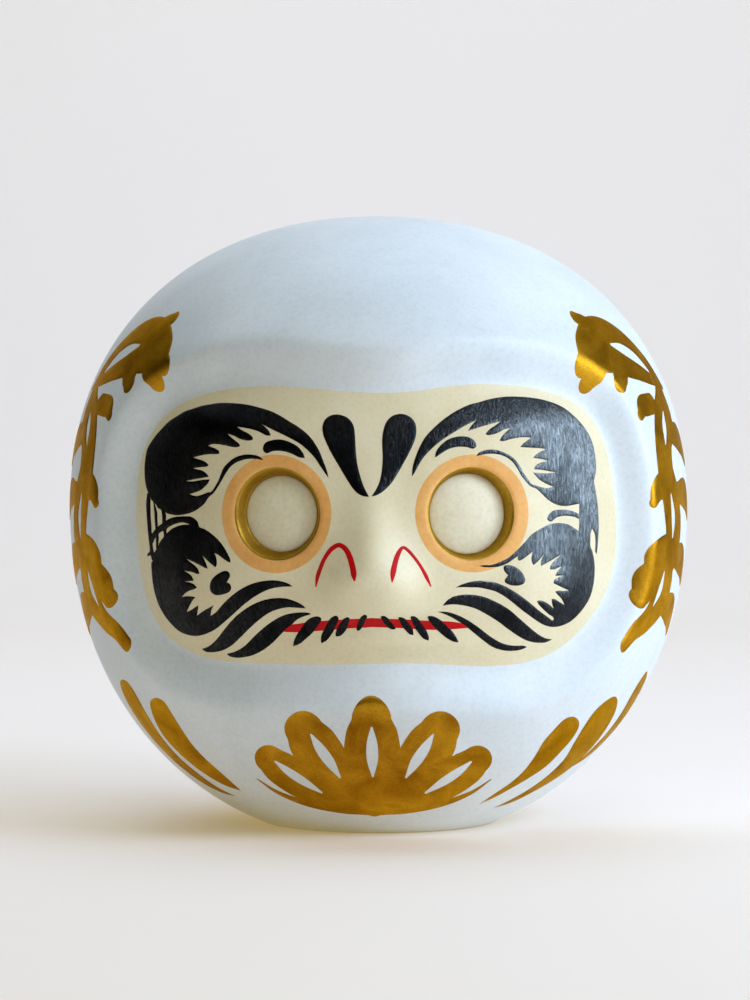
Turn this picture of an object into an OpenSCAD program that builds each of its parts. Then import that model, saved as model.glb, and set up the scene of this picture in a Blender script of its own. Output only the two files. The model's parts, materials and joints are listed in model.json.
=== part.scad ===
// Roly-poly wishing doll with a sunk face: a hollow papier-mache body of two
// glued halves on a dried-clay weight, painted in separate layers.
// Front of the doll looks along -Y. Origin is the centre of the flat underside.

/* [Body] */
// Widest diameter of the body
body_w = 240; // [200:1:280]
// Height of the widest circle above the underside
belly_z = 122; // [115:1:128]
// Height from the widest circle to the crown
crown_h = 113; // [100:1:125]
// Depth that the lower curve would reach below the widest circle if it closed
keel_h = 130; // [129:1:140]
// Squareness of the upper curve (2 is a plain ellipse)
crown_pow = 2.2; // [2:0.05:2.6]
// Squareness of the lower curve
keel_pow = 2.1; // [2:0.05:2.4]
// Wall thickness of the papier-mache
wall = 2.5; // [1.5:0.1:4]

/* [Face] */
// How far the face is sunk below the body surface
face_sink = 9; // [6:0.5:12]
// Height of the middle of the face opening
face_z = 116; // [112:1:120]
// Half width of the painted face
face_hw = 85; // [80:1:90]
// Half height of the painted face
face_hh = 49; // [44:1:52]
// Corner radius of the painted face
face_r = 34; // [20:1:40]
// Radius of the sphere that forms the nose
nose_r = 22.5; // [18:0.5:26]
// Height of the middle of the nose
nose_z = 99; // [95:1:103]
// How far the nose stands out from the face
nose_out = 8; // [5:0.5:9]

/* [Eyes] */
// Angle of the left eye socket from straight ahead
eye_az_left = 17.6; // [15:0.2:20]
// Angle of the right eye socket from straight ahead, a little wider
eye_az_right = 18.8; // [15:0.2:21]
// Height of the eye sockets
eye_z = 120; // [117:1:123]
// Radius of the socket floor
eye_floor_r = 14.2; // [12:0.2:15]
// Radius of the socket rim
eye_rim_r = 16.8; // [15.5:0.2:18]
// Depth of the socket
eye_depth = 5.5; // [4:0.5:7]
// Crown of the chalk-white eye insert
eye_crown = 1.6; // [1:0.1:3]
// Outer radius of the flat ring painted round the socket
ring_r = 21; // [19:0.5:22]

/* [Bottom] */
// Height of the joint between the shell and the clay weight
foot_h = 8; // [6:1:10]
// Radius of the part of the weight that stands inside the shell
spigot_r = 55; // [48:1:56]
// Height of the top of the weight above the underside
weight_top = 28; // [20:1:36]
// Thickness of the paper disc on the underside
disc_t = 0.3; // [0.2:0.1:0.6]
// Radius of the paper disc on the underside
disc_r = 42; // [36:1:44]

/* [Joint strip] */
// Width of the paper strip inside, over the joint of the two halves
strip_w = 18; // [10:1:30]
// Thickness of the paper strip
strip_t = 0.4; // [0.3:0.1:0.8]

/* [Paint] */
// Thickness of one coat of paint
coat = 0.25; // [0.2:0.05:0.4]

/* [Hidden] */
body_r = body_w / 2;
socket_slope = (eye_rim_r - eye_floor_r) / eye_depth;
face_rad = body_r - face_sink;
eps = 0.01;

// ---- profile of the body, as a function of its angle t, moved inwards by w ----
function pw(v, e) = v <= 0 ? 0 : pow(v, e);
function pt(t, w) =
  let (p = t >= 0 ? crown_pow : keel_pow, b = t >= 0 ? crown_h : keel_h, s = t >= 0 ? 1 : -1,
       r = body_r * pw(cos(t), 2 / p), h = b * pw(abs(sin(t)), 2 / p),
       nr = pw(r / body_r, p - 1) / body_r, nh = pw(h / b, p - 1) / b, n = norm([nr, nh]))
  [max(0, r - w * nr / n), belly_z + s * (h - w * nh / n)];
// angles of the profile, the same for every depth so that the layers meet
function angles() = [for (t = [-84 : 4 : 88]) t];
function profile(w) = concat([[0, belly_z - keel_h + w]], [for (t = angles()) pt(t, w)],
  [[0, belly_z + crown_h - w]]);

// the round body, moved inwards by w and cut off below z0
module form(w, z0, sides = 96) {
  rotate_extrude($fn = sides) intersection() {
    polygon(profile(w));
    translate([0, z0]) square([body_r + 20, 400]);
  }
}

// ---- the sunk face ----
module rounded(hw, hh, r) {
  hull() for (x = [-1, 1], y = [-1, 1])
    translate([x * (hw - r), y * (hh - r)]) circle(r = r, $fn = 48);
}

// what the face opening takes out of the body, grown by w on every side
module opening(w) {
  intersection() {
    hull() {
      translate([0, -44, face_z]) rotate([90, 0, 0])
        linear_extrude(height = 0.5) rounded(face_hw + 2 + w, face_hh + 4 + w, face_r + 2 + w);
      translate([0, -140, face_z]) rotate([90, 0, 0])
        linear_extrude(height = 0.5) rounded(face_hw + 62 + w, face_hh + 12 + w, face_r + 10 + w);
    }
    rotate_extrude($fn = 96) polygon([
      [70, face_z - face_hh + 6 - w], [face_rad - 14, face_z - face_hh - w], [face_rad - 2, face_z - face_hh - 4 - w],
      [body_r + 6, face_z - face_hh - 18 - w], [body_r + 40, face_z - face_hh - 40 - w],
      [body_r + 40, face_z + face_hh + 48 + w], [body_r - 4, face_z + face_hh + 17 + w],
      [face_rad - 8, face_z + face_hh + 1 + w], [70, face_z + face_hh - 8 + w]]);
  }
}

// the face surface itself with the nose, moved inwards by w
module face_form(w) {
  form(face_sink + w, foot_h);
  translate([0, -(face_rad + nose_out - nose_r), nose_z]) sphere(r = nose_r - w, $fn = 96);
}

// turns a child from straight ahead to the place of one eye, x out of the face
module at_eye(side) {
  translate([0, 0, eye_z]) rotate([0, 0, side < 0 ? -eye_az_left : eye_az_right]) rotate([90, 0, 0]) children();
}

// one eye socket, grown by w
module socket(side, w) {
  at_eye(side) translate([0, 0, face_rad - eye_depth - w])
    cylinder(r1 = eye_floor_r + 0.9 * w, r2 = eye_floor_r + 0.9 * w + socket_slope * (22 + w),
             h = 22 + w, $fn = 72);
}

// everything inside the surface that lies w below the outside
module solid_form(w) {
  difference() {
    union() {
      difference() {
        form(w, foot_h);
        opening(w);
      }
      face_form(w);
    }
    socket(-1, w);
    socket(1, w);
  }
}

module shell_half(front) {
  difference() {
    solid_form(0);
    solid_form(wall);
    translate([-200, front ? 0 : -400, -10]) cube([400, 400, 400]);
    translate([0, 0, foot_h - 5]) cylinder(r = spigot_r + 0.4, h = 12, $fn = 96);
  }
}

// ---- paint ----
// a brush stroke: a smooth line through [x, z, half width] points
function cr(a, b, c, d, t) = 0.5 * ((2 * b) + (c - a) * t + (2 * a - 5 * b + 4 * c - d) * t * t
  + (3 * b - a - 3 * c + d) * t * t * t);
function sm(p, k) = let (n = len(p)) concat(
  [for (i = [0 : n - 2]) for (j = [0 : k - 1]) cr(p[max(0, i - 1)], p[i], p[i + 1], p[min(n - 1, i + 2)], j / k)],
  [p[n - 1]]);
function side_of(q, i, s) =
  let (a = q[max(0, i - 1)], b = q[min(len(q) - 1, i + 1)], d = [b[0] - a[0], b[1] - a[1]],
       n = norm(d), w = max(0.12, q[i][2]))
  [q[i][0] - s * w * d[1] / n, q[i][1] + s * w * d[0] / n];
module brush(p, k = 4) {
  q = sm(p, k);
  m = len(q);
  polygon(concat([for (i = [0 : m - 1]) side_of(q, i, 1)], [for (i = [m - 1 : -1 : 0]) side_of(q, i, -1)]));
}
// a flat drawing seen from the front, pushed back through the body
module through() {
  translate([0, -30, 0]) rotate([90, 0, 0]) linear_extrude(height = 120) offset(r = 0.15) children();
}
// a coat on the sunk face; n is the number of coats under it
module on_face(n) {
  intersection() {
    difference() {
      face_form(-(n + 1) * coat);
      face_form(-n * coat);
      for (s = [-1, 1]) socket(s, 0);
    }
    through() children();
  }
}
// a coat on the round body; turn swings the drawing round the doll
module on_body(turn = 0) {
  rotate([0, 0, turn]) intersection() {
    difference() {
      form(-coat, foot_h);
      form(0, foot_h);
    }
    through() children();
  }
}
module both() {
  children();
  mirror([1, 0]) children();
}

module front_shell() { color("aliceblue") shell_half(true); }
module back_shell() { color("ghostwhite") shell_half(false); }

module seam_strip() {
  color("wheat") intersection() {
    difference() {
      form(wall, foot_h + 8);
      form(wall + strip_t, foot_h + 6);
    }
    translate([-200, -strip_w / 2, 0]) cube([400, strip_w, 300]);
  }
}

module base_weight() {
  color("rosybrown") union() {
    intersection() {
      form(0, disc_t);
      translate([0, 0, -1]) cylinder(r = 200, h = foot_h + 1, $fn = 96);
    }
    translate([0, 0, foot_h - 1]) rotate_extrude($fn = 96) polygon([
      [0, 0], [spigot_r, 0], [spigot_r, weight_top - foot_h - 3],
      [spigot_r - 4, weight_top - foot_h + 1], [0, weight_top - foot_h + 1]]);
  }
}

module base_paper() { color("tan") cylinder(r = disc_r, h = disc_t, $fn = 96); }

module eye_dome(side) {
  ball = (pow(eye_floor_r, 2) + pow(eye_crown, 2)) / (2 * eye_crown);
  color("ivory") at_eye(side) translate([0, 0, face_rad - eye_depth])
    rotate_extrude($fn = 72) polygon(concat([[0, 0]],
      [for (i = [12 : -1 : 0]) let (r = (eye_floor_r - 0.3) * i / 12)
        [r, sqrt(ball * ball - r * r) - ball + eye_crown + 0.3]]));
}
module left_eye_dome() { eye_dome(-1); }
module right_eye_dome() { eye_dome(1); }

// the gold coat on the slanting wall of one socket
module socket_coat(side) {
  color("darkgoldenrod") intersection() {
    at_eye(side) translate([0, 0, face_rad - eye_depth]) difference() {
      cylinder(r1 = eye_floor_r, r2 = eye_floor_r + socket_slope * 12, h = 12, $fn = 180);
      translate([0, 0, -1]) cylinder(r1 = eye_floor_r - coat - socket_slope,
        r2 = eye_floor_r - coat + socket_slope * 13, h = 14, $fn = 180);
    }
    form(face_sink, foot_h, 240);
  }
}
module left_socket_coat() { socket_coat(-1); }
module right_socket_coat() { socket_coat(1); }

module face_ground() {
  color("moccasin") on_face(0) translate([0, face_z]) rounded(face_hw, face_hh, face_r);
}

module eye_rings() {
  color("sandybrown") for (s = [-1, 1]) intersection() {
    difference() {
      face_form(-2 * coat);
      face_form(-coat);
      socket(s, 0);
    }
    at_eye(s) translate([0, 0, 90]) cylinder(r = ring_r, h = 40, $fn = 72);
  }
}

module brow_strokes() {
  color("black") on_face(1) both() {
    brush([[-66, 121, 4], [-71, 131, 8], [-70, 141, 9.5], [-63, 149, 8.5], [-52, 153, 6],
      [-41, 152, 4.5], [-31, 148, 3.4], [-22, 141, 2.2], [-15.5, 132, 0.2]]);
    brush([[-38, 144, 0.4], [-33, 145, 2], [-28, 142, 1.5], [-25, 139, 0.3]]);
  }
}

module beard_strokes() {
  color("black") on_face(1) both() {
    brush([[-51, 103, 0.2], [-58, 109, 4.5], [-67, 108, 6.5], [-72, 98, 6.5], [-72, 88, 7.5],
      [-65, 81, 6], [-56, 82, 3.8], [-46, 89, 3], [-36, 94, 2], [-29, 94, 0.2]]);
    brush([[-60, 72, 0.2], [-53, 74, 2.4], [-44, 81, 3.6], [-34, 86.5, 3], [-24, 86, 0.2]]);
    brush([[-51, 69.5, 0.2], [-44, 71, 2.2], [-36, 77, 3], [-29, 81.5, 2], [-21.5, 83.5, 0.2]]);
    brush([[-54, 92, 0.8], [-52, 95, 3], [-50, 98, 0.8]]);
  }
}

module forehead_drops() {
  color("black") on_face(1) both()
    brush([[-10.5, 155.5, 1.5], [-11.5, 151, 5], [-10.5, 144, 5.2], [-6, 132, 3.2], [-0.9, 126.5, 0.15]]);
}

module nostril_lines() {
  color("crimson") on_face(1) both()
    brush([[-19, 94, 0.4], [-16, 104, 0.9], [-11.5, 108.5, 0.8], [-8, 104, 0.9], [-6.5, 97, 0.5]]);
}

// the stretches of the mouth that show between the black ticks
module mouth_line() {
  color("crimson") on_face(1) difference() {
    brush([[-30, 78.5, 1.5], [-15, 80.5, 1.4], [0, 81.5, 1.3], [15, 80.5, 1.4], [30, 79, 1.5]]);
    offset(r = 0.15) mouth_tick_marks();
    both() brush([[-51, 69.5, 0.4], [-44, 71, 2.4], [-36, 77, 3.3], [-29, 81.5, 2.3], [-21.5, 83.5, 0.4]]);
  }
}
module mouth_tick_marks() {
  both() for (t = [[-22, 5.2], [-14.5, 4.6], [-9.5, 4.2], [-4.5, 3]])
    brush([[t[0] - 0.8 * t[1], 80.2 - t[1], 0.3], [t[0], 80.2, 1.5], [t[0] + 0.8 * t[1], 80.2 + t[1] * 0.9, 0.3]]);
}
module mouth_ticks() { color("black") on_face(1) mouth_tick_marks(); }

// an open lotus: five fat petals, each with a slit, on a pair of long leaves
module gold_front_lotus() {
  color("goldenrod") difference() {
    on_body() {
      brush([[0, 12, 4], [0, 21, 8], [0, 32, 10.2], [0, 42, 9.2], [0, 49, 6.8], [0, 53, 4.2], [0, 55, 0.6]]);
      both() {
        brush([[3, 12, 3.4], [9, 20, 6.6], [16.5, 29.5, 8.8], [21.5, 38, 8.8], [25, 44.5, 6.8], [26.8, 48, 4],
          [27.8, 50, 0.6]]);
        brush([[4, 11.5, 2.8], [13, 15, 5], [24, 21, 7], [33, 27, 7], [38.5, 31.5, 5.4], [41.5, 34.5, 3.2],
          [43, 36, 0.6]]);
        brush([[0, 11, 2.2], [11, 11, 1.9], [24, 13, 1.4], [35, 17, 0.8], [43, 22.5, 0.2]]);
      }
    }
    translate([0, -20, 0]) rotate([90, 0, 0]) linear_extrude(height = 140) {
      brush([[0, 25, 0.4], [0, 31.5, 2], [0, 38, 1.9], [0, 44, 0.4]]);
      both() {
        brush([[12, 24.5, 0.4], [15.5, 30.5, 1.9], [19, 36, 1.8], [21.8, 41, 0.4]]);
        brush([[19, 18, 0.4], [25.5, 22.4, 1.6], [31, 26.3, 1.5], [35.5, 30, 0.4]]);
      }
    }
  }
}

// a leafy vine: a broad slit leaf at the top and short lobes down a heavy stem
module vine() {
  difference() {
    union() {
      brush([[14, 168, 1], [2, 175, 7], [-12, 181, 10], [-24, 183, 9], [-35, 181, 6], [-39, 179, 1]]);
      brush([[8, 168, 4], [4, 158, 8.5], [-4, 148, 7.5], [-6, 136, 7.5], [-1, 124, 8.5], [2, 112, 8.5],
        [-3, 100, 7.5], [-4, 90, 8.5], [-11, 82, 5.5], [-19, 77, 3.6], [-23, 73, 2]]);
      brush([[-6, 161, 4], [-16, 160, 3.6], [-20, 157, 1]]);
      brush([[-6, 132, 5], [-14, 129, 4.6], [-18, 125, 1]]);
      brush([[-4, 108, 5], [-14, 105, 4.6], [-18, 100, 1]]);
      brush([[-2, 96, 6], [-14, 96, 6.5], [-20, 90, 2]]);
      brush([[6, 150, 4], [18, 148, 5.5], [25, 140, 1.5]]);
      brush([[6, 128, 4], [18, 127, 5.5], [26, 119, 1.5]]);
      brush([[4, 104, 4], [16, 102, 5.5], [24, 94, 1.5]]);
      brush([[0, 86, 4], [12, 83, 5.5], [20, 76, 1.5]]);
    }
    brush([[3, 174, 0.4], [-6, 178.5, 2.1], [-15, 181.5, 1.8], [-22, 183, 0.4]]);
    brush([[2, 158, 0.4], [-1, 152, 1.8], [-3, 146, 0.4]]);
    brush([[-2, 126, 0.4], [1, 118, 1.8], [1, 111, 0.4]]);
    brush([[-5, 97, 0.4], [-6, 91, 1.8], [-9, 86, 0.4]]);
  }
}
module gold_side_vines() {
  color("goldenrod") {
    on_body(68) vine();
    on_body(-68) mirror([1, 0]) vine();
  }
}

// the folds of the robe at the lower corners, fat at the top and pointed below
module gold_pleats() {
  color("goldenrod") on_body() {
    brush([[-93, 56, 1], [-91.5, 48, 2.4], [-87.5, 38, 3], [-78, 28, 2.8], [-66, 20, 1.8], [-53, 14, 0.3]]);
    brush([[-80, 52, 1], [-79.5, 47, 4], [-76.5, 40, 5.2], [-69.5, 32, 4.6], [-61, 25, 2.8], [-50, 18, 0.3]]);
    brush([[73, 46.5, 1], [73, 42, 4], [70, 36, 5.2], [63, 28.5, 4.4], [53, 21, 2.8], [39, 12.5, 0.3]]);
    brush([[90, 52.5, 1], [87.5, 46, 3.4], [82, 38, 3.8], [74, 29, 3.4], [63, 20.5, 2.3], [46, 10.5, 0.3]]);
    brush([[103, 59, 0.3], [99.5, 51, 1.4], [93, 41, 1.8], [84, 31, 0.3]]);
  }
}

front_shell();
back_shell();
seam_strip();
base_weight();
base_paper();
left_eye_dome();
right_eye_dome();
left_socket_coat();
right_socket_coat();
face_ground();
eye_rings();
brow_strokes();
beard_strokes();
forehead_drops();
nostril_lines();
mouth_line();
mouth_ticks();
gold_front_lotus();
gold_side_vines();
gold_pleats();
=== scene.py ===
"""Looks of the daruma doll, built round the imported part. Lengths in the tables are millimetres, in the CAD frame."""

import json
import math

import bmesh
import bpy
import numpy as np
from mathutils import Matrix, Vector
from mathutils.geometry import delaunay_2d_cdt
from mathutils.kdtree import KDTree

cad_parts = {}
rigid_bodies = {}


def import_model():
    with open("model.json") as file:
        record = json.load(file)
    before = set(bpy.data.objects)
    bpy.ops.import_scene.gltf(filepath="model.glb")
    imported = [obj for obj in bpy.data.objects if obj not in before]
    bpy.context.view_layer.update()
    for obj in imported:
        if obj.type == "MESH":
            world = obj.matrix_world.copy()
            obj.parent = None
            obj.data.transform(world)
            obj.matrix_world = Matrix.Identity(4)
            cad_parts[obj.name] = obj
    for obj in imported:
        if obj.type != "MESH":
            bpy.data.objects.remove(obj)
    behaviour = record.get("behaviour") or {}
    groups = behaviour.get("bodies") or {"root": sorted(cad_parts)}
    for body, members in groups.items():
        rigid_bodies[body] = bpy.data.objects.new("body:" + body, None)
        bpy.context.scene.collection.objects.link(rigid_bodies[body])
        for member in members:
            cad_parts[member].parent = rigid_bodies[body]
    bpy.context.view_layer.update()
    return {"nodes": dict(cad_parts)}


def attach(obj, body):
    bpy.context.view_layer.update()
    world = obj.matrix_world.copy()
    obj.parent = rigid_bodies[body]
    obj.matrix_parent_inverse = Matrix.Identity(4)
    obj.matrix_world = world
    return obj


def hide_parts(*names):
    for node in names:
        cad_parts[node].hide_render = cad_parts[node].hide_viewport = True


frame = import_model()

# ---------------------------------------------------------------- the body
# All lengths in this part are millimetres, in the CAD frame: front is -Y, up is +Z.
BODY_R = 120.0      # widest radius
BELLY_Z = 122.0     # height of the widest circle
CROWN_H, CROWN_P = 113.0, 2.2
KEEL_H, KEEL_P = 130.0, 2.1
SINK = 9.0          # how deep the face lies below the body
UNROLL = 111.0      # s = UNROLL * azimuth: millimetres round the face
SOCK_C = {-1: -34.1, 1: 36.3}  # s of the left and the right socket
SOCK_Z = 120.0
RIM_OUT, RIM_IN = 18.4, 16.5   # where the rim of a socket starts to round, and where its wall starts
SOCK_W, SOCK_H = 0.975, 1.045      # the sockets are a little taller than wide


def base(z):
    """Radius and outward normal (radial, vertical) of the round body at height z."""
    h = np.asarray(z, float) - BELLY_Z
    up = h >= 0
    b = np.where(up, CROWN_H, KEEL_H)
    p = np.where(up, CROWN_P, KEEL_P)
    q = np.clip(np.abs(h) / b, 0.0, 1.0)
    r = BODY_R * np.power(np.clip(1.0 - np.power(q, p), 0.0, 1.0), 1.0 / p)
    nr = np.power(np.clip(r / BODY_R, 1e-9, 1.0), p - 1) / BODY_R
    nz = np.sign(h) * np.power(q, p - 1) / b
    n = np.hypot(nr, nz)
    return r, nr / n, nz / n


def smooth(a, b, x):
    t = np.clip((x - a) / (b - a), 0.0, 1.0)
    return t * t * t * (t * (t * 6 - 15) + 10)


def bump(s, z, cs, cz, ws, wz, turn=0.0):
    """A soft round hill of height 1."""
    c, k = math.cos(math.radians(turn)), math.sin(math.radians(turn))
    u = ((s - cs) * c + (z - cz) * k) / ws
    v = (-(s - cs) * k + (z - cz) * c) / wz
    return np.exp(-(u * u + v * v))


# the edge of the cream ground, as (s, z), counter-clockwise from the lower left
FACE_EDGE = [
    (-100.6, 117.4), (-100.4, 107.5), (-100, 96), (-98.6, 85.2), (-94.8, 76.6), (-89, 70.9), (-80.6, 66.8),
    (-70.7, 64.2), (-58.5, 63), (-41.4, 62.7), (-20.5, 62.7), (-4.5, 63), (10.7, 63.5), (22, 63.1), (33.8, 62.4),
    (46.2, 61.8), (59, 62.2), (67.7, 63.5), (76.4, 66.1), (84.2, 70.5), (90.9, 76.2), (95.8, 82), (99.4, 88),
    (102, 94), (103.3, 101.3), (103.4, 108.7), (102.9, 116), (101.7, 125.7), (100.4, 134.5), (99, 142.1),
    (96.8, 149.5), (93.7, 155.5), (89, 160.3), (82.5, 164.1), (74, 166.9), (65.3, 168.6), (56.8, 169.5),
    (44.5, 169.9), (36.6, 169.5), (29, 168.7), (21.2, 167.5), (14, 166.5), (6.7, 166.1), (-0.4, 166.1),
    (-10, 166.7), (-19.5, 167.7), (-29.4, 168.5), (-39.8, 169.1), (-50.5, 168.8), (-64, 167.3), (-75.7, 164.5),
    (-85.4, 160), (-92.3, 153.8), (-96.6, 146.7), (-99.2, 137.5), (-100.3, 127),
]


def closed_curve(points, step=0.8):
    """A smooth closed curve through the points, evenly stepped. A point with a third value of 1 is a corner."""
    pts = [(float(p[0]), float(p[1]), len(p) > 2 and bool(p[2])) for p in points]
    n = len(pts)
    out = []
    for i in range(n):
        a, b, c, d = pts[i - 1], pts[i], pts[(i + 1) % n], pts[(i + 2) % n]
        p0, p1, p2, p3 = (np.array(q[:2]) for q in (a, b, c, d))
        chord = float(np.hypot(*(p2 - p1)))
        if b[2]:
            p0 = p1 + (p1 - p2) * 0.35 + (p3 - p2) * 0.0
        if c[2]:
            p3 = p2 + (p2 - p1) * 0.35
        # centripetal knots keep tight turns free of loops
        t0 = 0.0
        t1 = t0 + max(1e-6, float(np.hypot(*(p1 - p0)))) ** 0.5
        t2 = t1 + max(1e-6, chord) ** 0.5
        t3 = t2 + max(1e-6, float(np.hypot(*(p3 - p2)))) ** 0.5
        k = max(1, int(round(chord / step)))
        for j in range(k):
            t = t1 + (t2 - t1) * j / k
            a1 = (t1 - t) / (t1 - t0) * p0 + (t - t0) / (t1 - t0) * p1
            a2 = (t2 - t) / (t2 - t1) * p1 + (t - t1) / (t2 - t1) * p2
            a3 = (t3 - t) / (t3 - t2) * p2 + (t - t2) / (t3 - t2) * p3
            b1 = (t2 - t) / (t2 - t0) * a1 + (t - t0) / (t2 - t0) * a2
            b2 = (t3 - t) / (t3 - t1) * a2 + (t - t1) / (t3 - t1) * a3
            out.append((t2 - t) / (t2 - t1) * b1 + (t - t1) / (t2 - t1) * b2)
    return np.array(out)


def seg_dist(p, loop):
    """Distance from each point to a closed polyline."""
    best = np.full(len(p), 1e9)
    a = loop
    b = np.roll(loop, -1, axis=0)
    for i in range(0, len(a), 64):
        A, B = a[i:i + 64], b[i:i + 64]
        d = B - A
        L = np.maximum((d * d).sum(1), 1e-12)
        for k in range(0, len(p), 20000):
            q = p[k:k + 20000]
            t = np.clip((((q[:, None, :] - A[None]) * d[None]).sum(2)) / L[None], 0, 1)
            e = q[:, None, :] - (A[None] + t[..., None] * d[None])
            best[k:k + 20000] = np.minimum(best[k:k + 20000], np.sqrt((e * e).sum(2)).min(1))
    return best


def inside(p, loop):
    """Even-odd test of points against a closed polyline."""
    x, y = p[:, 0], p[:, 1]
    res = np.zeros(len(p), bool)
    a = loop
    b = np.roll(loop, -1, axis=0)
    for (x0, y0), (x1, y1) in zip(a, b):
        if y0 == y1:
            continue
        hit = ((y0 > y) != (y1 > y)) & (x < (x1 - x0) * (y - y0) / (y1 - y0) + x0)
        res ^= hit
    return res


EDGE = closed_curve(FACE_EDGE, 2.5)


def edge_dist(s, z):
    """Signed distance to the edge of the cream ground: negative inside."""
    p = np.stack([np.ravel(s), np.ravel(z)], 1).astype(float)
    d = seg_dist(p, EDGE)
    d[inside(p, EDGE)] *= -1
    return d.reshape(np.shape(s))


# the distance is read from a table, because it is asked for many times
TAB_S = np.arange(-140.0, 140.1, 1.25)
TAB_Z = np.arange(30.0, 205.1, 1.25)
_ts, _tz = np.meshgrid(TAB_S, TAB_Z)
TAB = edge_dist(_ts, _tz)


def table(s, z):
    fs = np.clip((s - TAB_S[0]) / 1.25, 0, len(TAB_S) - 1.001)
    fz = np.clip((z - TAB_Z[0]) / 1.25, 0, len(TAB_Z) - 1.001)
    i, j = fs.astype(int), fz.astype(int)
    u, v = fs - i, fz - j
    return (TAB[j, i] * (1 - u) * (1 - v) + TAB[j, i + 1] * u * (1 - v)
            + TAB[j + 1, i] * (1 - u) * v + TAB[j + 1, i + 1] * u * v)


def depth(s, z):
    """How far the surface lies inside the round body at (s, z)."""
    s, z = np.asarray(s, float), np.asarray(z, float)
    e = table(s, z)
    d = SINK * (1 - smooth(-2.0, 15.0, e))
    # a soft lip just outside the opening
    d = d - 0.5 * np.exp(-((e - 15.0) / 6.0) ** 2)
    inn = smooth(3.0, -9.0, e)
    r = 8.2 * bump(s, z, 0, 98.5, 13.5, 13.5)               # nose
    r = r + 2.6 * bump(s, z, 0, 115, 8, 17)                 # bridge
    r = r + 2.4 * bump(s, z, -9.5, 95, 7, 7) + 2.4 * bump(s, z, 9.5, 95, 7, 7)   # nostrils
    r = r + 2.2 * bump(s, z, 0, 84, 30, 9)                  # upper lip
    r = r - 1.2 * bump(s, z, 0, 77.5, 34, 4)                # under the mouth
    r = r + 1.2 * bump(s, z, 0, 71, 30, 5)                  # chin
    for k in (-1, 1):
        r = r + 2.2 * bump(s, z, k * 62, 88, 20, 14)        # cheek
        r = r + 2.4 * bump(s, z, k * 52, 152, 30, 9, k * 8)  # brow
        r = r - 1.4 * bump(s, z, k * 70, 122, 9, 12)        # temple
        r = r + 1.0 * bump(s, z, SOCK_C[k], SOCK_Z, 22, 22)
    return d - r * inn + rim_fall(s, z)


def sock_rho(s, z):
    """Distance from the centre of the nearer socket, in units in which the sockets are round."""
    s, z = np.asarray(s, float), np.asarray(z, float)
    return np.hypot((s - np.where(s < 0, SOCK_C[-1], SOCK_C[1])) / SOCK_W, (z - SOCK_Z) / SOCK_H)


def rim_fall(s, z):
    """The rounded rim of the two sockets."""
    t = np.clip((RIM_OUT - sock_rho(s, z)) / (RIM_OUT - RIM_IN), 0.0, 1.4)
    return 0.6 * t * t


def place(s, z, off=0.0):
    """Point on the surface at (s, z), moved out by off along the body's normal."""
    s, z = np.asarray(s, float), np.asarray(z, float)
    r, nr, nz = base(z)
    d = depth(s, z) - off
    th = s / UNROLL
    R = r - d * nr
    return np.stack([R * np.sin(th), -R * np.cos(th), z - d * nz], -1)


def normal(s, z, e=0.15):
    """Outward normal of the surface at (s, z)."""
    s, z = np.asarray(s, float), np.asarray(z, float)
    a = place(s + e, z) - place(s - e, z)
    b = place(s, z + e) - place(s, z - e)
    n = np.cross(a, b)
    n = n / np.maximum(np.linalg.norm(n, axis=-1, keepdims=True), 1e-12)
    r, nr, nz = base(z)
    th = s / UNROLL
    plain = np.stack([nr * np.sin(th), -nr * np.cos(th), nz], -1)
    far = (table(s, z) > 26)[..., None]
    return np.where(far, plain, n)


def lift(s, z, h):
    """Point at height h above the surface, along its own normal."""
    return place(s, z) + normal(s, z) * np.asarray(h, float)[..., None]


# height z against the length v measured up the profile, so that meshes are even over the crown
Z_FOOT = 0.15
_zz = BELLY_Z + CROWN_H * np.sin(np.linspace(0, math.pi / 2, 4000)) ** (2 / CROWN_P)
_zz = np.concatenate([np.linspace(Z_FOOT, BELLY_Z, 4000)[:-1], _zz])
_rr = base(_zz)[0]
_vv = np.concatenate([[0], np.cumsum(np.hypot(np.diff(_zz), np.diff(_rr)))])
V_TOP = float(_vv[-1])


def v_of(z):
    return np.interp(z, _zz, _vv)


def z_of(v):
    return np.interp(v, _vv, _zz)


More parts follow.
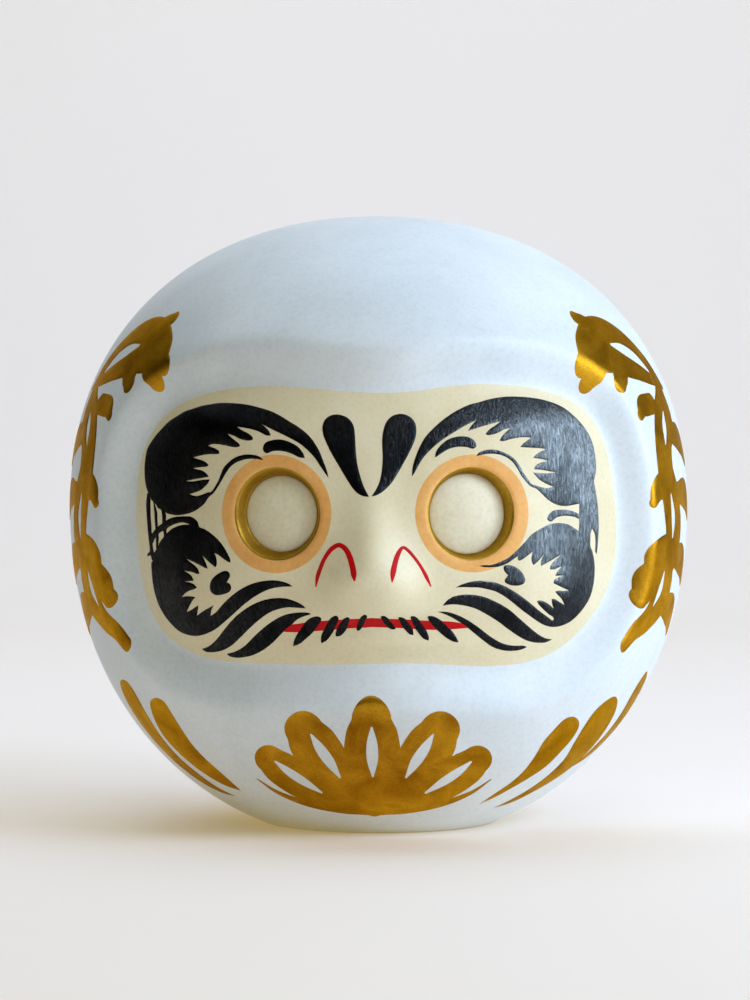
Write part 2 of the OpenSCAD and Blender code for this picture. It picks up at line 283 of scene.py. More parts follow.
# painted outlines, as (s, z) in millimetres; a third value of 1 is a sharp corner
SHAPES = {
    "brow_left": [
        (-91, 125.3, 1), (-92.8, 127.7, 1), (-94.5, 130.8), (-95.5, 134.4), (-96, 138), (-96, 141.9),
        (-95.3, 145.5), (-93.4, 148.1), (-90.9, 150.7), (-87.8, 153.2), (-84.4, 155.7), (-80.6, 157.5),
        (-76.6, 159.4), (-72.5, 160.4), (-68.6, 161.4), (-64.4, 162), (-60.6, 162.4), (-56.8, 162.4),
        (-52.4, 162.1), (-47.6, 161.5), (-42.9, 160.4), (-38.1, 159), (-34.3, 157.3), (-30.4, 155), (-26.6, 152.7),
        (-23.2, 150.1), (-20.6, 147.2), (-18.5, 143.7), (-16.8, 139.6), (-15.5, 136), (-14.9, 133.3, 1),
        (-16.4, 135.5), (-18.2, 138.2), (-19.9, 140.8), (-22.3, 143.5), (-25.1, 145.9), (-28.3, 147.8),
        (-31.9, 149.6), (-35.6, 151.3), (-39.9, 153.4, 1), (-38.2, 152), (-37, 150.7), (-36.3, 149.2, 1),
        (-38, 149.2), (-40.6, 150.5), (-43.7, 151.5), (-46.8, 152.1), (-49.7, 152.5, 1), (-47.6, 151.2),
        (-45.2, 150.1), (-43.5, 148.9), (-43, 147.9), (-43.8, 147.4), (-45.8, 147.4), (-48.5, 148.1),
        (-50.9, 149.2), (-53.4, 149.9, 1), (-52.1, 148.8), (-50.2, 147.4), (-48.6, 146.2), (-48.3, 145.4),
        (-49.2, 145), (-51.6, 145.1), (-54.8, 145.8), (-58.5, 146.3), (-60.4, 146.3), (-62.1, 145.8, 1),
        (-60.5, 145.2), (-58.6, 144.5), (-57.3, 143.6), (-57.1, 142.9), (-57.9, 142.6), (-60.9, 142.6),
        (-64, 142.4), (-67.2, 141.9), (-69.4, 141.4, 1), (-67.1, 140.8), (-64.8, 140.2), (-63, 139.3),
        (-62.1, 138.4), (-62.8, 137.9), (-65.5, 137.7), (-67.9, 137.5), (-69.3, 137.3, 1), (-67.5, 136.9),
        (-65.1, 136.4), (-63.1, 135.3), (-61.8, 134, 1), (-64.7, 133.6), (-68.7, 133.1), (-72.9, 132.4, 1),
        (-69.6, 132.3), (-65.5, 132.8), (-61.3, 133, 1), (-62.1, 131.6), (-63.5, 130.4), (-65.6, 129),
        (-68.1, 128.2), (-71.4, 127.4, 1), (-69.8, 126.9), (-67.8, 126.7), (-65.2, 127.2), (-62.5, 128, 1),
        (-60.6, 128.3), (-59.1, 129.9), (-57.6, 132.2), (-56.4, 134.8), (-55.3, 137.3), (-53.5, 139.1),
        (-51.4, 140.7), (-48.9, 141.7), (-46.5, 142.2), (-43.8, 142.2), (-41.2, 141.7), (-39.3, 140.7),
        (-38.5, 139.7, 1), (-39.6, 140), (-41.9, 140.5), (-44.9, 140.6), (-47.6, 140.1), (-50.3, 139.1),
        (-52.4, 137.6), (-54.1, 135.4), (-55.5, 133.2), (-56.9, 131), (-58.3, 129.1), (-59.8, 127.5),
        (-61.4, 126.5), (-62.5, 125.5), (-64, 123.8), (-66.6, 122.2), (-69.5, 120.8), (-72.7, 119.9),
        (-76.1, 119.4), (-79.2, 119.5), (-82.2, 120.1), (-84.6, 121.2), (-87.1, 122.1, 1), (-88.5, 123.7),
    ],
    "strand_left_1": [
        (-93.1, 127.8), (-91.5, 125.8), (-91.3, 122.8), (-91.2, 119.6), (-90.9, 115.2), (-90.8, 111.7),
        (-90.6, 108.4), (-90.3, 105.8), (-89.6, 103.4), (-91, 101.6), (-91.7, 101.9), (-92.4, 103.7),
        (-94.6, 103.3, 1), (-94.2, 104.4), (-92.7, 105.4), (-92.7, 108.1), (-93, 110.8), (-93.3, 114.6),
        (-93.7, 119.6), (-94, 123.4), (-93.7, 126.1),
    ],
    "strand_left_2": [
        (-89.9, 125.8), (-88.5, 123.1), (-87.4, 120.5), (-87.2, 117), (-87, 113.5), (-86.8, 110.5), (-87.3, 107.6),
        (-87.9, 104.9), (-88.6, 106.4), (-88.6, 109.3), (-88.5, 112.9), (-88.8, 116.4), (-89.1, 120.5),
        (-89.5, 123.1),
    ],
    "strand_left_3": [
        (-85.1, 122), (-82.7, 119.9), (-82.7, 117), (-82.5, 114.1), (-82.6, 111.2), (-84.6, 108.8), (-86.3, 109),
        (-84.1, 111), (-84.2, 113.5), (-84.7, 116.4), (-84.7, 119.1),
    ],
    "hook_left": [
        (-91.5, 112.6), (-90.9, 112.3), (-89.2, 113.5), (-86.9, 115.1), (-84.3, 116.4), (-81.5, 117.8),
        (-78.9, 118.6), (-76.1, 118.9), (-73.3, 119), (-70.7, 118.8), (-68.8, 117.9), (-67.4, 116.8),
        (-66.7, 115.3), (-66.1, 114.2), (-69.4, 114.2), (-71.1, 115.3), (-71.7, 116, 1), (-74.6, 116.6),
        (-77.4, 116.2), (-80.4, 115.2), (-82.3, 114), (-82.6, 112.6), (-84.4, 113.3), (-86.6, 112.3),
        (-88.9, 110.5), (-90.7, 108.4), (-92.2, 109.3),
    ],
    "cheek_left": [
        (-86.3, 109), (-84.1, 111), (-82.1, 112.6), (-80, 114), (-77.4, 115.1), (-74.6, 115.7), (-71.7, 115.8),
        (-69.4, 115.3), (-66.3, 114.8), (-63.2, 113.9), (-59.9, 112.1), (-57.2, 110), (-54.9, 107.4),
        (-53.3, 104.8), (-52.4, 103), (-52.3, 101.7, 1), (-53.4, 102), (-55.3, 103.1), (-57.6, 104.6),
        (-59.1, 105.2, 1), (-58.4, 103.6), (-58.1, 101.9), (-58.3, 100.5), (-58.8, 99.9, 1), (-60.3, 100.9),
        (-62.4, 102.4), (-64.5, 104.1, 1), (-63.6, 102.4), (-62.7, 100.8), (-62.1, 99.3, 1), (-63.4, 99.6),
        (-65.9, 100.6), (-68.9, 101.7), (-72.3, 102.8, 1), (-70.4, 101.6), (-68.1, 100.3), (-66.5, 98.8),
        (-66, 97.4, 1), (-67.4, 97.3), (-69.7, 97.9), (-73.6, 98.3, 1), (-71.6, 97.5), (-69.7, 96.3),
        (-68.8, 94.7, 1), (-70.9, 94.5), (-73.8, 94.3, 1), (-71, 94), (-68.7, 93.3), (-67.4, 92.2, 1),
        (-69.3, 91.4), (-71.7, 90.8), (-74, 89.7), (-75.9, 88.3, 1), (-73.7, 88.7), (-71.2, 88.8), (-68.6, 88.6, 1),
        (-70.1, 87.5), (-72.5, 85.1), (-74.8, 82.6, 1), (-71.9, 83.6), (-69.5, 84.8), (-67.8, 85.5, 1),
        (-68.5, 83.8), (-69.7, 81.4, 1), (-67.2, 82.7), (-63.9, 84.3), (-60.6, 85.7, 1), (-62, 83.8),
        (-63, 81.5, 1), (-60.1, 83.1), (-56.8, 85.9), (-53.6, 88.5), (-50.3, 90.8), (-47.1, 92.6), (-43.3, 94.1),
        (-39.5, 94.9), (-35.8, 95.2), (-32.2, 94.7), (-29.7, 93.8), (-28.5, 92.9, 1), (-31.6, 92.8), (-36, 92.2),
        (-39.8, 90.9), (-43.7, 88.8), (-47.7, 86.2), (-52.1, 82.9), (-57.1, 79.4), (-62.4, 76.2), (-67.8, 74.1),
        (-73.2, 73), (-78.4, 73.3), (-82.4, 74.5), (-86, 77.1), (-88.9, 80.3), (-91.2, 84.2), (-92.4, 88.6),
        (-92.8, 93.1), (-92.6, 97.6), (-92.1, 101.3), (-91.4, 101.6), (-90.7, 104), (-89.1, 105.8), (-87.3, 107.6),
    ],
    "heart_left": [
        (-53, 98), (-52.6, 96.8), (-53.2, 95.7), (-54.1, 94.4, 1), (-53.1, 94), (-52.4, 93), (-52.5, 91.7),
        (-53.5, 90.7), (-55.4, 90), (-57.7, 89.6), (-59.7, 89.8), (-61.1, 90.9), (-61.4, 92.5), (-60.9, 94.5),
        (-59.5, 96.2), (-57.6, 97.5), (-55.7, 98.4), (-54.1, 98.6),
    ],
    "lash_left": [
        (-39.1, 145), (-38.2, 146.5), (-36.1, 147.4), (-32.5, 147.7), (-29, 146.7), (-26.1, 145), (-24.3, 142.8),
        (-23.5, 140.8, 1), (-25.7, 141.1), (-28.5, 142.5), (-31.7, 143.4), (-35.3, 143.4), (-37.8, 142.6),
        (-38.9, 143.4),
    ],
    "whisker_left_2": [
        (-72.3, 67.8, 1), (-68.2, 69.1), (-63.9, 71.6), (-59, 75.6), (-54.5, 79.5), (-49.8, 83), (-44.7, 85.9),
        (-40, 87.7), (-35.5, 88.5), (-31.1, 88.4), (-27.4, 87.3), (-24.9, 86), (-23.9, 84.9, 1), (-26.8, 85),
        (-30.5, 85.1), (-34.3, 84.4), (-38.3, 82.9), (-42.5, 80.3), (-47.1, 76.9), (-52, 73.1), (-57.3, 69.5),
        (-62.6, 67.4), (-67.7, 66.6), (-71.1, 66.8),
    ],
    "whisker_left_3": [
        (-60.2, 66.3, 1), (-56.3, 67.2), (-51.2, 69.6), (-46.1, 73.5), (-41.6, 76.9), (-37.3, 79.7), (-33.2, 81.8),
        (-29.3, 82.9), (-25.5, 83.3), (-22.9, 83.2), (-21.9, 82.7, 1), (-25, 81.7), (-27.8, 80.3), (-30.3, 78.1),
        (-34.1, 75.1), (-38.4, 71.4), (-43.1, 68.3), (-47.8, 66.2), (-52.4, 65.1), (-57, 64.8), (-59.6, 65.4),
    ],
    "tick_left_1": [
        (-30.4, 70.1, 1), (-29.5, 72.7), (-27.6, 75.6), (-25, 79), (-22.1, 81.3), (-19.4, 81.9), (-18.3, 81.2),
        (-19.1, 79.1), (-21.5, 76), (-24.7, 73.2), (-27.9, 70.9),
    ],
    "tick_left_2": [
        (-19, 71.5, 1), (-19, 73.7), (-17.8, 76.5), (-16.1, 79.6), (-14, 82), (-12.3, 82.6), (-11.7, 81.5),
        (-13, 78.1), (-14.9, 74.8), (-17, 72.5),
    ],
    "tick_left_3": [
        (-13.3, 74.3), (-13.1, 76.2), (-11.8, 79), (-10.1, 81.2), (-8.3, 82.3), (-7.6, 81.6), (-8.2, 79.1),
        (-9.8, 75.9), (-11.7, 74.3),
    ],
    "tick_left_4": [
        (-5.3, 76.5), (-5.4, 78.1), (-4.6, 80.6), (-3.3, 82.8), (-2, 83.7), (-1.3, 83.1), (-1.8, 81.1), (-3.1, 78),
        (-4.4, 76.5),
    ],
    "drop_left": [
        (-17.6, 153.1), (-16.9, 155.4), (-15.2, 157), (-12.8, 157.6), (-9.9, 157), (-7.8, 155.6), (-6.3, 153.2),
        (-5.7, 149.4), (-5.3, 143.6), (-4.7, 138.5), (-3.7, 134.2), (-2.3, 129.9), (-1.1, 127.4), (-0.5, 126.2, 1),
        (-2.3, 126.4), (-4.3, 127.4), (-6.3, 129.5), (-8.8, 133.5), (-11.5, 138.2), (-14.3, 143.2), (-16.2, 147.2),
        (-17.3, 150.1),
    ],
    "drop_right": [
        (10.9, 157.8), (13.7, 157), (15.7, 155), (16.4, 152), (15.8, 147.9), (14, 143.6), (11.6, 138.9),
        (9.2, 134.5), (7.2, 131.3), (4.5, 128.4), (1.8, 126.7), (0.3, 126.4, 1), (1.8, 128.8), (3.1, 132),
        (3.9, 136.3), (4.2, 141.4), (4, 146.5), (4.4, 150.9), (5.6, 154.6), (7.7, 156.9),
    ],
    "brow_right": [
        (14.5, 133.8, 1), (14.8, 137.4), (15.8, 141), (17.3, 144.8), (19.6, 148.8), (22.9, 152.4), (27, 155.9),
        (31.6, 158.9), (37.2, 161.5), (40.5, 162.3), (44.5, 163.5), (48.9, 164.4), (53.8, 164.9), (57.9, 164.9),
        (62.5, 164.7), (67.1, 164.2), (71, 163.4), (74.8, 162.3), (78.6, 160.5), (82.2, 157.8), (85.7, 154.7),
        (88.5, 151.6), (90.4, 148.2), (91.3, 144.5), (91.5, 140.5), (91.2, 136.4), (90.3, 133.8), (89.8, 132.4),
        (90.3, 129.8), (91, 126.4), (91.6, 123.1), (92, 119.2), (92.3, 114), (92.3, 111), (92.2, 108),
        (91.9, 104.4, 1), (91, 105.3), (90.8, 108), (90.5, 110.7), (89.9, 112.7), (88.5, 114.2, 1), (87.9, 112),
        (87.9, 109.7), (88.1, 107.4), (89.2, 105.7), (90.1, 103.7), (91.1, 100.7), (91.7, 97), (91.8, 93.7),
        (91.5, 90.3), (90.5, 87), (88.3, 83.7), (85.7, 81), (82.5, 78.7), (79.1, 77.4), (75.6, 76.8), (72.5, 76.9),
        (68.7, 77.8), (64.9, 79.5), (61.3, 81.5), (57, 84.1), (53.1, 86.8), (49.5, 89.2), (46, 91), (42.7, 91.9),
        (39.4, 92.5), (36.1, 92.6), (33.1, 92.7), (30.6, 92.5, 1), (33, 93.7), (35.9, 94.6), (38.7, 95), (41.6, 95),
        (45.3, 94.4), (39.3, 95.1), (42.5, 95), (45.9, 94.3), (49.2, 93.1), (52.7, 91.3), (56.3, 89.2),
        (60.2, 86.6), (64.1, 84), (67, 82.3), (69.9, 80.7), (72.5, 79.5), (72.7, 80.1), (71.8, 81), (69.8, 81.9, 1),
        (67.5, 83.4), (65.5, 84.8), (63.7, 86.3), (62.9, 87.4, 1), (64.2, 87.6), (66.3, 87.1), (69, 85.8),
        (71.3, 84.3, 1), (70.1, 86.3), (69.6, 88, 1), (71.1, 87.9), (73.5, 86.8), (76.7, 85.4, 1), (74.7, 87.7),
        (72.1, 89.6), (70.9, 90.7, 1), (72.4, 91), (75, 90.8), (77.9, 90.9, 1), (74.9, 91.9), (71.7, 93.1),
        (69.8, 93.9, 1), (70.1, 95), (71.1, 95.6), (72.8, 96.1), (75, 96.5, 1), (72.8, 96.6), (70.5, 96.5, 1),
        (71.1, 97.6), (72.3, 98.8), (73.8, 100.1, 1), (71.9, 99.6), (70.2, 99), (68, 99, 1), (68.2, 100.2),
        (69.6, 101.8), (71.4, 103), (73.2, 104.4, 1), (69.4, 102.7), (66.2, 101.3), (63.9, 100.3, 1), (63.9, 101.9),
        (64.5, 103.5), (65.4, 104.9, 1), (63.7, 103.1), (62, 101.6), (60.7, 100.7, 1), (60, 101.9), (59.8, 103.5),
        (60.3, 105.7, 1), (58.7, 104.7), (56.5, 103.2), (54.8, 102.4, 1), (54.2, 102.9), (54.2, 104.3, 1),
        (52.3, 103), (49.9, 101.5), (47.3, 100.5), (44.3, 100), (41.3, 100), (38.1, 100.7, 1), (40.9, 101.1),
        (43.9, 101.2), (46.9, 102.2), (49.9, 103.6), (52.6, 105.5), (55, 107.6), (57.2, 109.7), (59.4, 111.9),
        (61.7, 113.3), (65, 114.8), (68.3, 115.9), (71.5, 116.4), (74.6, 116.3), (77.3, 115.7), (79.6, 114.5),
        (81.6, 113.4, 1), (81.8, 115.3), (81.8, 117.9, 1), (80.1, 118.6), (77.3, 119.1), (74.3, 119.1), (72, 118.6),
        (70.4, 117.7), (69.2, 117), (68, 117.2), (67.3, 117.9), (67.6, 119), (68.9, 120.3), (70.9, 121.3),
        (73.6, 121.5), (76.6, 121.4), (79.3, 120.8), (81.8, 119.8, 1), (81.9, 121.9), (81.9, 123.7, 1),
        (79.3, 123.3), (76.6, 122.9), (73.6, 123), (70.9, 123.7), (68, 125.1), (65.1, 127.1), (62.6, 129),
        (61.2, 129.7), (59.4, 130.3), (57.6, 131.9), (55.8, 133.9), (54.1, 136.8), (52.4, 139.1), (50.3, 140.8),
        (47.8, 141.9), (45.1, 142.4), (42.1, 142.4), (39.8, 142), (37.4, 141.1, 1), (38.8, 142.8), (40.7, 143.6),
        (43.4, 144), (46.4, 143.7), (49.5, 142.6), (52.4, 141), (54.5, 138.8), (56.2, 135.9), (58.4, 132.9),
        (60.2, 131.1), (61.6, 130.8, 1), (64.6, 130), (67.5, 129.7), (70.1, 130.2, 1), (67, 131.2), (63.8, 132.6),
        (61.8, 134.3), (60.5, 135.6, 1), (63.4, 135.4), (67.3, 135.3), (71, 135.7, 1), (68.1, 136.1), (64.6, 136.6),
        (61, 136.8, 1), (61.9, 138.2), (64.2, 139.4), (67.5, 140.1, 1), (64.6, 140.7), (60.7, 141.1, 1),
        (62.3, 142.5), (64.3, 143.6), (66.7, 144.5, 1), (63.5, 144.8), (59.6, 144.9), (55.1, 145.1, 1),
        (56.6, 146.5), (58.2, 147.6), (59.8, 148.5, 1), (57.7, 148.7), (54.4, 148.5), (50.8, 147.8), (48.1, 147.1),
        (46.7, 147.3, 1), (47.7, 148.9), (49.4, 150.5), (51.3, 151.9, 1), (48.9, 151.5), (46.5, 150.3),
        (44.1, 149.5), (42.1, 149.3), (41.4, 149.8, 1), (43.3, 151.6), (45.4, 152.9), (47.7, 154.5, 1),
        (44.9, 153.8), (41.5, 152.9), (38.5, 152), (35, 150.8, 1), (36.5, 152.9), (38.5, 155, 1), (34.5, 153.1),
        (30, 150.5), (25.7, 147.7), (22.2, 144.8), (19.1, 141.5), (17, 138.3), (15.6, 135.5),
    ],
    "heart_right": [
        (50.4, 97.1, 1), (49, 98.5), (48.5, 99.8), (48.9, 100.7), (50.6, 100.9), (53.1, 100.2), (55.2, 98.8),
        (56.6, 97.2), (57.3, 95.6), (57, 94.3), (55.7, 93.5), (53.6, 93.2), (51.2, 93.5), (49.3, 94.5),
        (49.1, 95.3), (49.8, 96.3),
    ],
    "lash_right": [
        (22.8, 140.9, 1), (23.2, 143.2), (25, 145.7), (27.8, 147.8), (31.3, 148.8), (34.8, 148.6), (37.2, 147.2),
        (37.9, 145.3), (36.8, 144.3), (34, 144.9), (30.5, 144.9), (27.7, 144.1), (24.9, 142.4),
    ],
    "whisker_right_2": [
        (26.1, 85.9, 1), (27.5, 87.6), (29.6, 89), (33.2, 89.8), (37.5, 89.8), (42, 88.9), (46.5, 87.1),
        (51.3, 84.6), (56.7, 80.8), (61.8, 77.3), (67.3, 74), (71.6, 72.3), (74.8, 71.8, 1), (72.2, 70.7),
        (67.4, 70.7), (62.6, 71.7), (57.6, 73.9), (52.9, 76.6), (48.4, 79.5), (43.4, 82.3), (38.7, 84.6),
        (34.2, 85.8), (29.8, 86.3),
    ],
    "whisker_right_3": [
        (24.4, 83.7, 1), (27.8, 83.5), (31.5, 82.4), (36.3, 80.1), (41.2, 77), (46.3, 73.6), (51.7, 70.9),
        (57, 69.8), (61.4, 69.7), (63.4, 69.1, 1), (61, 68.1), (56.7, 67.7), (52.4, 68.1), (47.9, 69.5),
        (43.4, 72.2), (39.2, 75.2), (35, 78.2), (31, 80.7), (27.9, 82.3),
    ],
    "tick_right_1": [
        (3.6, 82.9), (4.8, 83), (6.6, 81.4), (8.4, 78.7), (9.1, 77.1), (8, 76.8), (6, 77.9), (4.2, 80.6),
    ],
    "tick_right_2": [
        (10, 82.1), (11.8, 81.7), (13.7, 79.8), (15.5, 76.9), (15.9, 74.6, 1), (14.6, 74.8), (12.8, 76.4),
        (10.9, 79),
    ],
    "tick_right_3": [
        (14.4, 82.2), (16, 82.1), (18.1, 80), (20.4, 76.8), (21.8, 73.6), (21.7, 72.5, 1), (19.8, 73.2),
        (17.5, 75.6), (15.6, 78.5),
    ],
    "tick_right_4": [
        (20.8, 81.9), (22.8, 81.9), (25.9, 80.2), (29.2, 77.4), (32, 74.2), (33.6, 71.6, 1), (31.8, 71.8),
        (28.7, 73.3), (25.2, 76), (22.4, 78.7),
    ],
    "mouth": [
        (-34.6, 77.3), (-27.6, 78.7), (-22.3, 79.6), (-14.9, 80.5), (-7.6, 81.5), (-0.7, 82.1), (-0.3, 82.2),
        (8, 81.5), (17.2, 80.5), (23.8, 79.9), (29.7, 79.6), (35.7, 78.5), (38.9, 77.4), (35.9, 76.9), (28.5, 76.4),
        (21.2, 76.4), (10.3, 77.3), (-0.4, 77.9), (-0.8, 77.8), (-8, 77.2), (-15.3, 76.4), (-22.7, 75.7),
        (-30.2, 75.3), (-34.4, 75.8),
    ],
    "pleat_l1": [
        (-128.6, 56), (-123, 57.6), (-118.8, 56.8), (-116.4, 53.5), (-116.2, 48.2), (-116.6, 41), (-117, 34.6),
        (-115.4, 28), (-110.8, 22.3), (-104.9, 17.2), (-94.8, 13.7, 1), (-108, 14.6), (-120, 18.2), (-129, 25),
        (-133.5, 34), (-134.5, 43), (-133, 50.5),
    ],
    "pleat_l2": [
        (-106.7, 49.5), (-102.7, 51.4), (-97.7, 52), (-94.4, 50.7), (-93.4, 45.7), (-92.8, 40.1), (-91.9, 34),
        (-89.5, 28.8), (-85.8, 23.8), (-82.6, 16.7, 1), (-92.2, 18.1), (-99.5, 20.8), (-106.6, 25.6),
        (-111.2, 31.1), (-113.2, 36.7), (-111.2, 43.2),
    ],
    "pleat_r1": [
        (68.4, 12.1, 1), (72.5, 16.1), (77.6, 20.3), (80.5, 24.6), (81.3, 30.2), (81.2, 36.4), (83.4, 40.6),
        (86.7, 44.7), (91, 45.6), (96.7, 43.9), (99.8, 41), (100.2, 36.7), (98.2, 31.8), (95.4, 26.4), (89.7, 22.2),
        (82.1, 18.1), (75.1, 14.5),
    ],
    "pleat_r2": [
        (85.3, 9.5, 1), (93.1, 12.9), (100.1, 17.1), (105.1, 22.6), (106.7, 28.2), (104.3, 34.6), (103.6, 40.8),
        (105.3, 46.8), (110, 50.4), (115.7, 51.9), (121, 50.1), (125.6, 45.6), (128, 40.5), (128.8, 34.3),
        (127.5, 28.8), (123.7, 23.4), (117.2, 19.3), (108.3, 15.4), (98.4, 11.6),
    ],
    "pleat_r3": [
        (141.5, 60), (137, 56.8), (135.2, 51), (136, 45.5), (135.5, 39), (131, 31), (124, 24, 1), (135, 27),
        (144, 33), (149.5, 41), (150, 50), (147.5, 56.5),
    ],
}

# brush lines, as (s, z, half the width)
LINES = {
    "nostril_left": [
        (-19.5, 93.3, 0.2), (-18.8, 96.8, 0.61), (-17.5, 100.4, 0.61), (-15.9, 103.9, 0.61), (-13.6, 107.1, 0.68),
        (-10.8, 108.7, 0.68), (-8.3, 107.3, 0.75), (-6.7, 104.5, 0.81), (-5.7, 101.3, 0.81), (-5.3, 98.8, 0.75),
        (-5.1, 97, 0.27),
    ],
    "nostril_right": [
        (7.2, 96.4, 0.2), (7.5, 99.3, 0.75), (8.2, 102.5, 0.75), (9.3, 105.6, 0.68), (11, 107.8, 0.47),
        (13, 106.6, 0.47), (15.8, 103.2, 0.47), (17.9, 100, 0.47), (19.7, 96.7, 0.54), (21.4, 93.2, 0.2),
    ],
}

PETALS = [
    [(0, 12, 4), (0, 21, 8), (0, 32, 10.2), (0, 42, 9.2), (0, 47.5, 7.0)],
    [(3, 12, 3.4), (9, 20, 6.6), (16.5, 29.5, 8.8), (21.5, 38, 8.8), (24.2, 42.8, 7.2)],
    [(4, 11.5, 2.8), (13, 15, 5), (24, 21, 7), (33, 27, 7), (37.6, 30.8, 5.6)],
    [(0, 11, 2.2), (11, 11, 1.9), (24, 13, 1.4), (35, 17, 0.8), (43, 22.5, 0.2)],
]

PETAL_HOLES = [
    [(0, 25, 0.4), (0, 31.5, 2), (0, 38, 1.9), (0, 44, 0.4)],
    [(12, 24.5, 0.4), (15.5, 30.5, 1.9), (19, 36, 1.8), (21.8, 41, 0.4)],
    [(19, 18, 0.4), (25.5, 22.4, 1.6), (31, 26.3, 1.5), (35.5, 30, 0.4)],
]

# the vine on each side, as brush lines on the right; the left one mirrors it
VINE = [
    [(146, 168, 1), (134, 174.5, 7), (118, 180.5, 11), (104, 182, 11), (93, 179, 8.5), (86.5, 174.5, 4)],
    [(112, 176, 3), (105.5, 171, 4.5), (103, 167.5, 3.4)],
    [(97, 177, 3), (91.5, 172, 4.4), (89, 169, 3.2)],
    [(107, 184, 4), (99.5, 189, 4.2), (94, 192, 2.6)],
    [(140, 168, 4), (136, 158, 9), (128, 148, 8), (126, 136, 8), (131, 124, 9), (134, 112, 9), (129, 100, 8),
     (128, 90, 9), (120, 81.5, 6), (112, 77, 4.2), (107, 72, 3)],
    [(124, 161, 4), (115, 159.5, 4), (111, 156, 2)],
    [(126, 132, 5), (118, 129, 5), (114.5, 124, 2)],
    [(128, 108, 5), (118, 105, 5), (114.5, 99, 2)],
    [(130, 96, 6), (118, 95.5, 8), (112, 89, 4)],
    [(138, 150, 4), (150, 148, 6), (158, 140, 2)],
    [(138, 128, 4), (151, 127, 6), (160, 119, 2)],
    [(136, 104, 4), (149, 102, 6), (158, 94, 2)],
    [(132, 86, 4), (145, 83, 6), (153, 75, 2)],
]
VINE_HOLES = [
    [(134, 173.5, 0.5), (126, 178, 2.2), (117, 181, 2.2), (109, 182.5, 0.5)],
    [(134, 158, 0.5), (131, 152, 1.9), (129, 146, 0.5)],
    [(130, 127, 0.5), (132.5, 118.5, 1.9), (132.5, 111, 0.5)],
    [(127, 98, 0.5), (125.5, 91.5, 1.9), (122, 86, 0.5)],
]

# ---------------------------------------------------------------- mesh helpers
def mesh(name, points, faces, normals=None, mat=None, slot=None, replaces=(), sharp=None):
    """A piece from points in millimetres. normals, one per point, are used for shading where given (not nan)."""
    me = bpy.data.meshes.new(name)
    me.from_pydata((np.asarray(points) / 1000.0).tolist(), [], [tuple(int(i) for i in f) for f in faces])
    me.validate()
    b = bmesh.new()
    b.from_mesh(me)
    bmesh.ops.recalc_face_normals(b, faces=b.faces)
    b.to_mesh(me)
    b.free()
    me.update()
    me.polygons.foreach_set("use_smooth", [True] * len(me.polygons))
    if normals is not None:
        own = np.zeros(len(me.vertices) * 3)
        me.vertices.foreach_get("normal", own)
        own = own.reshape(-1, 3)
        n = np.array(normals, float)
        n[np.isnan(n).any(1)] = own[np.isnan(n).any(1)]
        me.normals_split_custom_set_from_vertices(n.tolist())
    ob = bpy.data.objects.new(name, me)
    bpy.context.scene.collection.objects.link(ob)
    if mat:
        me.materials.append(mat)
    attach(ob, "root")
    if replaces:
        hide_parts(*replaces)
    return ob


def cdt(points, edges):
    """Triangles over the points, which keep the edges. Returns points and triangles."""
    v, _, f, _, _, _ = delaunay_2d_cdt([Vector((float(x), float(y))) for x, y in points],
                                       [tuple(int(i) for i in e) for e in edges], [], 0, 1e-6)
    return np.array([(p.x, p.y) for p in v]), np.array([tuple(t) for t in f], int)


def loop_edges(start, n):
    return [(start + i, start + (i + 1) % n) for i in range(n)]


def from_front(points, k):
    """A drawing seen from the front, as x and z, laid on the round body; k = -1 mirrors it."""
    x, z = points[:, 0] * k, points[:, 1]
    return np.stack([UNROLL * np.arcsin(np.clip(x / base(z)[0], -0.99, 0.99)), z], 1)


def stroke(points, step=0.6):
    """Outline of a brush line through (s, z, half the width)."""
    p = np.array(points, float)
    n = len(p)
    ext = np.vstack([2 * p[0] - p[1], p, 2 * p[-1] - p[-2]])
    fine = []
    for i in range(1, n):
        a, b, c, d = ext[i - 1], ext[i], ext[i + 1], ext[i + 2]
        k = max(2, int(math.hypot(*(c - b)[:2]) / step))
        for j in range(k):
            t = j / k
            fine.append(0.5 * ((2 * b) + (c - a) * t + (2 * a - 5 * b + 4 * c - d) * t * t
                               + (3 * b - a - 3 * c + d) * t ** 3))
    fine.append(p[-1])
    q = np.array(fine)
    q[:, 2] = np.maximum(q[:, 2], 0.12)
    d = np.gradient(q[:, :2], axis=0)
    d /= np.maximum(np.linalg.norm(d, axis=1, keepdims=True), 1e-9)
    side = np.stack([-d[:, 1], d[:, 0]], 1) * q[:, 2:3]

    def cap(c, way, w):
        m = max(2, int(w * math.pi / step))
        a0 = math.atan2(way[1], way[0])
        return [(c[0] + w * math.cos(a0 + t), c[1] + w * math.sin(a0 + t))
                for t in np.linspace(math.pi / 2, -math.pi / 2, m + 2)[1:-1]]

    left = (q[:, :2] + side).tolist()
    right = (q[:, :2] - side).tolist()
    out = left + cap(q[-1, :2], d[-1], q[-1, 2]) + right[::-1] + cap(q[0, :2], -d[0], q[0, 2])
    # the same spacing all along
    out = np.array(out)
    keep = [0]
    for i in range(1, len(out)):
        if np.hypot(*(out[i] - out[keep[-1]])) > step * 0.45:
            keep.append(i)
    return out[keep]


def ring(cs, cz, rs, rz, n=120):
    t = np.linspace(0, 2 * math.pi, n, endpoint=False)
    return np.stack([cs + rs * np.cos(t), cz + rz * np.sin(t)], 1)


def in_any(p, loops):
    res = np.zeros(len(p), bool)
    for l in loops:
        lo, hi = l.min(0) - 0.01, l.max(0) + 0.01
        near = ((p >= lo) & (p <= hi)).all(1)
        if near.any():
            res[np.where(near)[0][inside(p[near], l)]] = True
    return res


